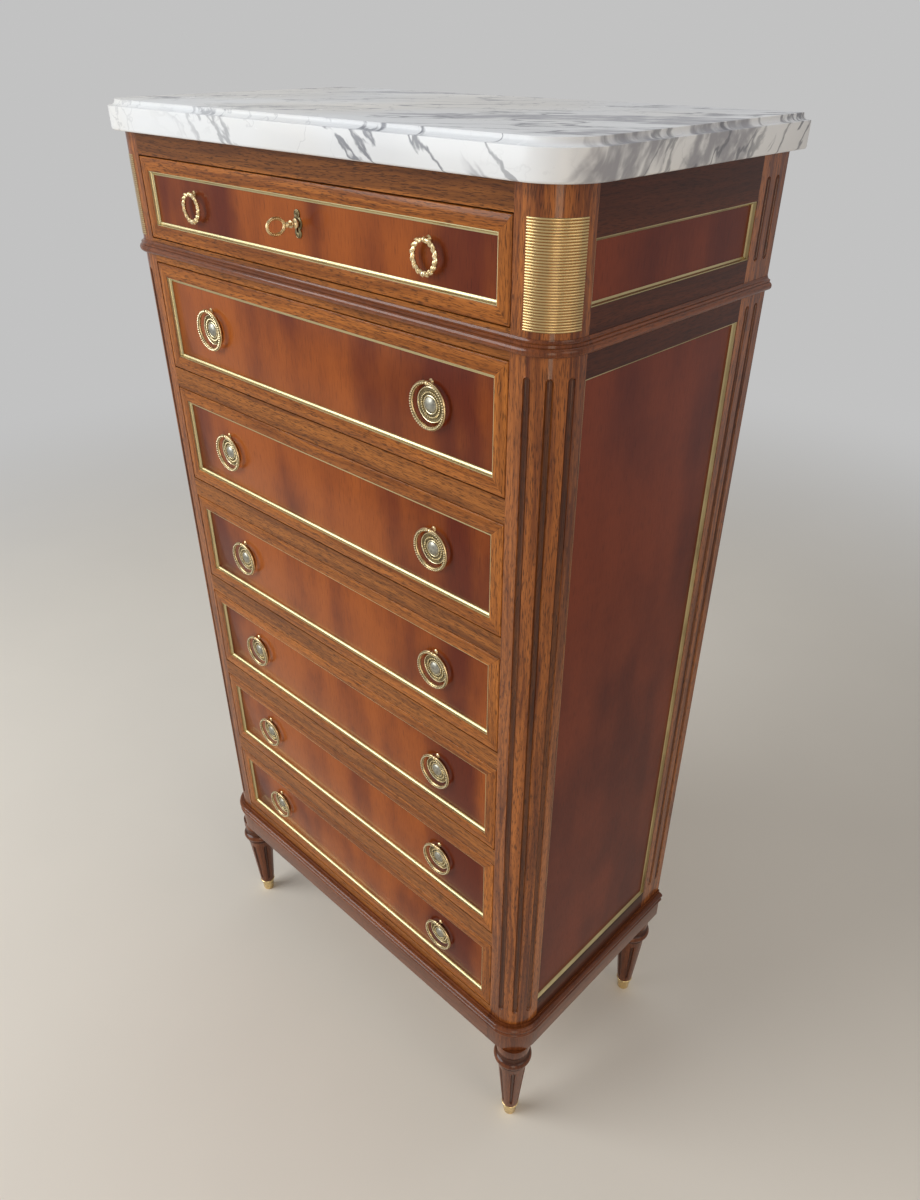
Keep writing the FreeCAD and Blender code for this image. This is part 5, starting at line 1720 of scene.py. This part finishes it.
@dataclass(frozen=True)
class RosettePull(Pull):
    """The lower drawers' pull: a beaded ring round a domed rosette.

    RIM and GROUND are the backplate's outline as (radius, height), RIM's radii less the plate's radius. A
    front is how far something stands before the ring's or the rosette's plane.

    Attributes:
        beads: Number of beads on the ring.
        band_half: Half the width and depth of its band.
        channel_half: The same of the channel under the beads.
        plate_gap: Between the backplate and the pull's post.
        bead_circle: Radius of the circle of beads on the backplate.
        rim_inset: Outer raised rim inside the backplate's edge.
        dome_turn: Angle that the dome's outline turns through.
    """

    RIM = ((-0.3, 0.0), (0.0, 0.5), (-0.1, 1.5), (-0.8, 2.1), (-1.6, 2.1), (-2.2, 1.3), (-3.6, 1.0))
    GROUND = ((15.0, 1.2), (14.6, 1.9), (12.2, 1.9), (11.8, 1.2), (10.4, 1.1), (9.9, 1.9), (9.3, 2.3),
              (8.7, 1.9), (0.5, 1.9))

    beads: int = 52
    bead: float = 1.08
    bead_front: float = 1.9
    bead_clearance: float = 0.5
    band_half: Pair = (2.25, 2.0)
    band_front: float = -0.4
    channel_half: Pair = (1.45, 0.8)
    channel_front: float = 1.1
    plate_gap: float = 1.8
    plate_beads: int = 34
    plate_bead: float = 1.0
    plate_bead_front: float = 2.2
    bead_circle: float = 13.4
    rim_inset: float = 1.1
    inner_rim: float = 9.5
    rim_wire: float = 0.6
    rim_front: float = 2.0
    dome: float = 8.8
    dome_base: float = 1.9
    dome_height: float = 3.4
    dome_turn: float = 1.5
    dome_foot: Pair = (8.6, 1.2)

    def ring(self) -> tuple[Surface, Surface, Surface]:
        """The ring's bright beads, its band with the pin, and the tarnished channel under the beads.

        Returns:
            The three parts, round the ring's centre.
        """
        turn = self.turn(self.bead_clearance, self.beads)
        beads = pearls(self.bead, round_facing(turn, self.middle, -self.bead_front))
        band = self.open_ring(*self.band_half).moved(y=-self.band_front)
        channel = self.open_ring(*self.channel_half).moved(y=-self.channel_front)
        return beads, joined([band, self.pin_and_eyes()]), channel

    def backplate(self) -> tuple[Surface, Surface, Surface]:
        """The rosette's beads and raised rims, its tarnished ground and its dome, which is an elliptic arc.

        Returns:
            The three parts, round the rosette's centre.
        """
        radius = self.pin_rise - self.post - self.plate_gap
        plate = np.concatenate([np.array(self.RIM) + (radius, 0), self.GROUND])
        rims = [wire_circle(rim, self.rim_wire, 56).moved(y=-self.rim_front)
                for rim in (radius - self.rim_inset, self.inner_rim)]
        centres = round_facing(circle(self.plate_beads), self.bead_circle, -self.plate_bead_front)
        beads = joined([pearls(self.plate_bead, centres), *rims])
        tilt = np.linspace(0, 1, 9) * self.dome_turn
        height = self.dome_base + self.dome_height * np.sin(tilt)
        dome = np.concatenate([[self.dome_foot], np.stack([self.dome * np.cos(tilt), height], axis=-1)])
        return beads, facing_front(turned(plate, 56)), facing_front(turned(dome, 48))


@dataclass(frozen=True)
class WreathPull(Pull):
    """The top drawer's pull: a small laurel wreath.

    RIBBONS are the degrees round the wreath of its three bindings. ROWS are the three rows of leaves: which
    way each leans, and how far it lies in front.

    Attributes:
        core: Radius of the wreath's core.
        ribbon_span: Angle round the wreath that a binding covers.
        ribbon_turns: Times that a ribbon is wound round the core.
        ribbon_reach: A ribbon's middle line from the core's.
        ribbon_half: Half the width and thickness of a ribbon.
        leaves: Number of leaves in a row.
        leaf_span: Start and length of the part of a half wave that gives a leaf's width.
        leaf_rise: How far its tip stands over its foot.
        row_reach: Outer rows of leaves from the ring's middle.
        row_lean: Angle that their leaves lean outwards or inwards.
        row_shift: Angle that each row starts after the last.
    """

    FRONT = np.array([0.0, -1.0, 0.0])
    RIBBONS = (-90, 170, 10)
    ROWS = ((-1.0, 0.9), (0.0, 1.35), (1.0, 0.9))

    core: float = 1.9
    ribbon_span: float = 0.34
    ribbon_turns: float = 2.0
    ribbon_reach: float = 2.15
    ribbon_half: Pair = (0.75, 0.4)
    leaves: int = 15
    leaf_clearance: float = 1.5
    leaf_length: float = 6.4
    leaf_foot: float = 2.8
    leaf_half: float = 1.5
    leaf_flatness: float = 0.75
    leaf_fullness: float = 0.8
    leaf_span: Pair = (0.05, 0.92)
    leaf_rise: float = 0.5
    row_reach: float = 1.35
    row_lean: float = 0.35
    row_shift: float = 0.1

    def ribbon(self, place: float) -> Surface:
        """A ribbon wound twice round the wreath, its windings side by side.

        Its middle line is a helix on the wreath, and its section an oval.

        Args:
            place: Degrees round the wreath of the middle of the binding.

        Returns:
            The ribbon.
        """
        share = np.linspace(0, 1, 56)
        across = round_facing(math.radians(place) + self.ribbon_span * (share - 0.5), 1.0, 0.0)
        wind = (2 * math.pi * self.ribbon_turns * share)[:, None]
        out = across * np.cos(wind) + self.FRONT * np.sin(wind)
        path = across * self.middle + out * self.ribbon_reach
        side = np.cross(np.gradient(path, axis=0), out)
        side /= np.linalg.norm(side, axis=1, keepdims=True)
        around = circle(8)[None, :, None]
        half_width, half_thickness = self.ribbon_half
        oval = (side * half_width)[:, None] * np.cos(around)
        oval = oval + (out * half_thickness)[:, None] * np.sin(around)
        return loft(path[:, None] + oval)

    def leaf(self) -> Surface:
        """One pointed leaf along +X, its underside at z = 0: its width is a power of a sine.

        Returns:
            The leaf.
        """
        share = np.linspace(0, 1, 6)[:, None]
        start, span = self.leaf_span
        width = self.leaf_half * np.sin((share * span + start) * math.pi) ** self.leaf_fullness
        around = circle(6)[None]
        x, y = share * self.leaf_length - self.leaf_foot, width * np.cos(around)
        z = width * self.leaf_flatness * np.sin(around) + share * self.leaf_rise
        return loft(np.stack(np.broadcast_arrays(x, y, z), axis=-1))

    def ring(self) -> tuple[Surface, Surface]:
        """The wreath's bright ribbons, and its leaves on their core with the pin.

        Each leaf's point is its place on the ring, plus the leaf's x along the ring, y aside and z forward.

        Returns:
            The ribbons and the leaves.
        """
        leaf = self.leaf()
        parts = [self.open_ring(self.core, self.core), self.pin_and_eyes()]
        base = self.turn(self.leaf_clearance, self.leaves)
        for row, (tilt, lift) in enumerate(self.ROWS):
            turn = base + self.row_shift * row
            turn = turn[turn < base[-1] + 0.02]
            lean = self.row_lean * tilt
            out, ahead = round_facing(turn, 1.0, 0.0), round_facing(turn + math.pi / 2, 1.0, 0.0)
            along = ahead * math.cos(lean) + out * math.sin(lean)
            ways = np.stack(np.broadcast_arrays(along, np.cross(self.FRONT, along), self.FRONT), axis=1)
            places = out * (self.middle + self.row_reach * tilt) + self.FRONT * lift
            parts.append(copied(leaf, places[:, None] + leaf.points @ ways))
        return joined([self.ribbon(place) for place in self.RIBBONS]), joined(parts)


class Pulls:
    """Every ring pull of the chest."""

    def __init__(self) -> None:
        """Sets the sizes of the two kinds."""
        self.lower = RosettePull(outer=26.5, band=4.5, rise=0.5)
        self.frieze = WreathPull(outer=18.0, band=5.0, rise=-1.5)

    def build(self, drawer: int, finishes: Finishes) -> None:
        """Makes the two pulls of one drawer.

        Args:
            drawer: Number of the drawer.
            finishes: The chest's finishes.
        """
        pull = self.frieze if drawer == 1 else self.lower
        centre = CASE.opening_bottom(drawer) + CASE.opening_height(drawer) / 2 + pull.rise
        body = f"drawer_{drawer}"
        mounts = Piece(f"{body}_pull_backplates", body, "brass", [f"{body}_pull_mounts"])
        for side, sign in SIDES.items():
            x = pull.offset * sign
            mounts.add(pull.mount().moved(x, CASE.board_face, centre + pull.pin_rise), finishes.casting)
            if isinstance(pull, RosettePull):
                looks = (finishes.beads, finishes.tarnished, finishes.dull)
                for part, finish in zip(pull.backplate(), looks):
                    mounts.add(part.moved(x, CASE.board_face, centre), finish)
            ring = Piece(f"{body}_{side}_pull", f"ring_{drawer}_{side}", "brass", [f"{body}_ring_{side}"])
            for part, finish in zip(pull.ring(), (finishes.beads, finishes.casting, finishes.tarnished)):
                ring.add(part.moved(x, CASE.board_face - pull.stand, centre), finish)
            ring.build()
        mounts.build()


@dataclass(frozen=True)
class Lock:
    """Escutcheon and key of the top drawer.

    Attributes:
        lobes: Height over the key's axis and radius of each lobe of the escutcheon.
        scrolls: The same for the rings on it.
        neck: Outline from the bow to the collar, as (radius, distance from the bow).
        bow_half: Half the thickness and width of the bow's wire.
        bow_bead_offset: Each row of the bow's beads beside its middle.
        collar_gap: Between the collar and the escutcheon.
        bow_lap: How far the neck reaches into the bow.
        bit_lap: How far the bit reaches into the shank.
        bit_inset: Its rear end in front of the shank's.
    """

    plate: float = 1.6
    bit_length: float = 6.0
    bow_front: float = -208.5
    bow_length: float = 25.6
    bow_height: float = 19.7
    bow_band: float = 3.6
    bow_half: Pair = (1.4, 1.8)
    bow_beads: int = 30
    bow_bead: float = 0.95
    bow_bead_offset: float = 1.3
    scroll_wire: float = 0.7
    collar_gap: float = 1.0
    bow_lap: float = 1.0
    bit_ease: float = 0.3
    bit_lap: float = 0.6
    bit_inset: float = 1.0
    shank_end: float = -142.0
    lobes: tuple[Pair, ...] = ((0.0, 7.5), (9.5, 4.5), (-10.0, 5.5))
    scrolls: tuple[Pair, ...] = ((9.8, 2.8), (9.8, 1.2), (-12.3, 2.2))
    neck: tuple[Pair, ...] = (
        (0.6, 0.0), (1.6, 0.4), (2.6, 2.0), (3.1, 3.4), (2.6, 4.8), (1.7, 5.8), (1.9, 6.6), (3.9, 7.0),
        (4.2, 7.6), (3.4, 8.2), (2.5, 9.4), (2.7, 10.8), (3.6, 12.0), (4.9, 13.0),
    )

    def plate_surface(self) -> Surface:
        """The escutcheon: the farthest of three lobes along each direction, round a keyhole.

        Returns:
            The escutcheon in its place.
        """
        angle = circle(96)
        way = np.stack([np.cos(angle), np.sin(angle)], axis=-1)
        reach = np.zeros_like(angle)
        for rise, radius in self.lobes:
            along = rise * way[:, 1]
            square = radius**2 - rise**2 + along**2
            reach = np.maximum(reach, np.where(square > 0, along + np.sqrt(np.maximum(square, 0)), 0))
        hole = np.minimum(KEYHOLE.reach(way), reach - 0.8)
        high = self.plate
        rings = (
            (hole, 0.0), (hole, high - 0.3), (hole + 0.3, high - 0.1), (hole * 0.45 + reach * 0.55, high),
            (reach - 0.9, high - 0.2), (reach - 0.15, high - 0.7), (reach, 0.0),
        )
        plate = loft(np.array([round_facing(angle, radius, -height) for radius, height in rings]), ring=True)
        scrolls = [
            wire_circle(radius, self.scroll_wire).moved(0, -high, rise) for rise, radius in self.scrolls
        ]
        return joined([plate, *scrolls]).moved(0, CASE.board_face, CASE.key_height)

    def bow(self) -> Surface:
        """The oval bow, an oval wire along an ellipse, with a row of beads round each face of its rim.

        Returns:
            The bow in its place.
        """
        length, height = (self.bow_length - self.bow_band) / 2, (self.bow_height - self.bow_band) / 2

        def ellipse(steps: int, x: float, a: float, b: float) -> np.ndarray:
            """Points round the key's cross axis: x, a times cosine, b times sine."""
            return np.roll(round_upright(circle(steps), 1.0, x) * (a, b, 1), 1, axis=1)

        out = ellipse(64, 0.0, height, length)
        out /= np.linalg.norm(out, axis=1, keepdims=True)
        around = circle(12)[None, :, None]
        thick, wide = self.bow_half
        band = ellipse(64, 0.0, length, height)[:, None] + out[:, None] * (wide * np.cos(around))
        band = loft(band + np.array([thick, 0, 0]) * np.sin(around), ring=True)
        rows = [ellipse(self.bow_beads, sign * self.bow_bead_offset, length, height) for sign in (-1, 1)]
        beads = [pearls(self.bow_bead, row, 4, 6) for row in rows]
        return joined([band, *beads]).moved(0, self.bow_front + self.bow_length / 2, CASE.key_height)

    def stem(self) -> Surface:
        """Neck, bell-shaped collar and shank, turned along the key.

        Returns:
            The stem in its place.
        """
        face = CASE.board_face - self.plate - self.collar_gap
        start = self.bow_front + self.bow_length - self.bow_lap
        outline = np.concatenate([
            np.array(self.neck) + (0, start),
            [(5.0, face - 0.6), (4.4, face), (KEYHOLE.shank, face + 0.1),
             (KEYHOLE.shank, self.shank_end - 0.5), (1.6, self.shank_end)],
        ])
        return facing_front(turned(outline * (1, -1), 28)).moved(z=CASE.key_height)

    def bit(self) -> Surface:
        """The bit at the end of the shank.

        Returns:
            The bit in its place.
        """
        half, rear = KEYHOLE.bit_width / 2, self.shank_end - self.bit_inset
        high = CASE.key_height - KEYHOLE.shank + self.bit_lap
        low = CASE.key_height - KEYHOLE.bit_drop
        return block((-half, rear - self.bit_length, low), (half, rear, high), self.bit_ease)

    def build(self, finishes: Finishes) -> None:
        """Makes the escutcheon and the key.

        Args:
            finishes: The chest's finishes.
        """
        plate = Piece("keyhole_plate", "drawer_1", "brass", ["escutcheon"])
        plate.add(self.plate_surface(), finishes.tarnished).build()
        key = Piece("beaded_key", "key", "brass", ["key"])
        key.add([self.bow(), self.stem(), self.bit()], finishes.casting).build()


# ---------------------------------------------------------------------------------------------
# Pieces shown as they were made, and the studio
# ---------------------------------------------------------------------------------------------
def finish_remaining(finishes: Finishes) -> None:
    """Gives a finish to every piece that is shown as it was made.

    Args:
        finishes: The chest's finishes.
    """
    looks = {
        "side_rails": finishes.side_rail,
        "side_panels": finishes.side_panel,
        "side_trims": finishes.side_trim,
        "drawer_runners": finishes.hidden_front_to_back,
        "carcass_boards": finishes.hidden_upright,
        "lock_case": finishes.dull,
        "lock_bolt": finishes.steel,
    }
    looks |= {f"drawer_{drawer}_box": finishes.hidden_front_to_back for drawer in DRAWERS}
    for name, node in frame["nodes"].items():
        node.data.materials.clear()
        node.data.materials.append(looks.get(name, finishes.rail))
        log.info("%s finished as made", name)


def set_up(name: str, data: bpy.types.ID, place: Spot, way: Vector) -> bpy.types.Object:
    """Puts a lamp or the camera at a place, looking a way.

    Args:
        name: Of the object.
        data: The lamp or camera.
        place: Where it is, in metres.
        way: Direction that it looks along.

    Returns:
        The object.
    """
    thing = bpy.data.objects.new(name, data)
    thing.location = place
    thing.rotation_mode = "QUATERNION"
    thing.rotation_quaternion = way.to_track_quat("-Z", "Y")
    bpy.context.scene.collection.objects.link(thing)
    return thing


@dataclass(frozen=True)
class Lamp:
    """One soft oval lamp. Its places and its width and height are metres, its power watts."""

    name: str
    place: Spot
    aim: Spot
    size: Pair
    power: float
    colour: Colour

    def hang(self) -> None:
        """Puts the lamp in the studio."""
        data = bpy.data.lights.new(self.name, "AREA")
        data.shape = "ELLIPSE"
        data.size, data.size_y = self.size
        data.energy = self.power
        data.color = self.colour
        set_up(self.name, data, self.place, Vector(self.aim) - Vector(self.place))


@dataclass(frozen=True)
class Studio:
    """Floor, lamps and camera. Lengths here are metres, the camera's lens and sensor millimetres."""

    eye: Spot = (0.8467, -0.7942, 1.5189)
    forward: Spot = (-0.58223344, 0.60394831, -0.54428913)
    lens: float = 26.98
    sensor: float = 36.0
    shift: float = 0.0129
    nearest: float = 0.02
    floor: float = 60.0
    daylight: Colour = (0.86, 0.90, 0.96)
    daylight_strength: float = 0.33
    lamps: tuple[Lamp, ...] = (
        Lamp("window", (-1.9, -2.8, 2.5), (0, 0, 0.7), (3.0, 3.0), 110, (0.95, 0.98, 1.0)),
        Lamp("corner", (2.1, -1.9, 1.1), (0.32, -0.13, 1.0), (0.8, 2.4), 13, (1.0, 0.84, 0.64)),
        Lamp("room", (2.6, -0.2, 2.0), (0.3, 0, 0.9), (1.6, 1.6), 9, (1.0, 0.84, 0.68)),
        Lamp("ceiling", (0.0, 0.6, 3.2), (0, 0, 1.0), (2.0, 2.0), 12, (1.0, 0.97, 0.93)),
    )

    def camera(self) -> None:
        """Sets up the camera."""
        data = bpy.data.cameras.new("camera")
        data.lens = self.lens
        data.sensor_width = self.sensor
        data.shift_y = self.shift
        data.clip_start = self.nearest
        bpy.context.scene.camera = set_up("camera", data, self.eye, Vector(self.forward))

    def ground(self, finishes: Finishes) -> None:
        """The floor.

        Args:
            finishes: The chest's finishes.
        """
        corners = np.array([(-1, -1, 0), (1, -1, 0), (1, 1, 0), (-1, 1, 0)]) * self.floor / 2
        mesh = bpy.data.meshes.new("floor")
        mesh.from_pydata(corners.tolist(), [], [(0, 1, 2, 3)])
        mesh.materials.append(finishes.floor)
        floor = bpy.data.objects.new("floor", mesh)
        bpy.context.scene.collection.objects.link(floor)

    def surroundings(self) -> None:
        """Even pale light from all round, and the backdrop where it is seen."""
        world = bpy.data.worlds.new("surroundings")
        graph = Graph(world)
        light = glow(graph, "ShaderNodeBackground", self.daylight, self.daylight_strength)
        shown = glow(graph, "ShaderNodeBackground", BACKDROP, 1.0)
        mixed = graph.output("ShaderNodeMixShader", None, {0: seen_directly(graph), 1: light, 2: shown})
        graph.node("ShaderNodeOutputWorld", None, {"Surface": mixed})
        bpy.context.scene.world = world

    def build(self, finishes: Finishes) -> None:
        """Makes the whole studio.

        Args:
            finishes: The chest's finishes.
        """
        bpy.context.scene.view_settings.view_transform = "Standard"
        self.ground(finishes)
        self.surroundings()
        for lamp in self.lamps:
            lamp.hang()
        self.camera()


def main() -> None:
    """Makes every piece and the studio."""
    logging.basicConfig(level=logging.INFO, format="%(name)s: %(message)s")
    finishes = Finishes()
    finish_remaining(finishes)
    for assembly in (MarbleTop(), Posts(), Mouldings(), Feet()):
        assembly.build(finishes)
    fronts, pulls = DrawerFronts(), Pulls()
    for drawer in DRAWERS:
        fronts.build(drawer, finishes)
        pulls.build(drawer, finishes)
    Lock().build(finishes)
    Studio().build(finishes)


if __name__ == "__main__":
    main()
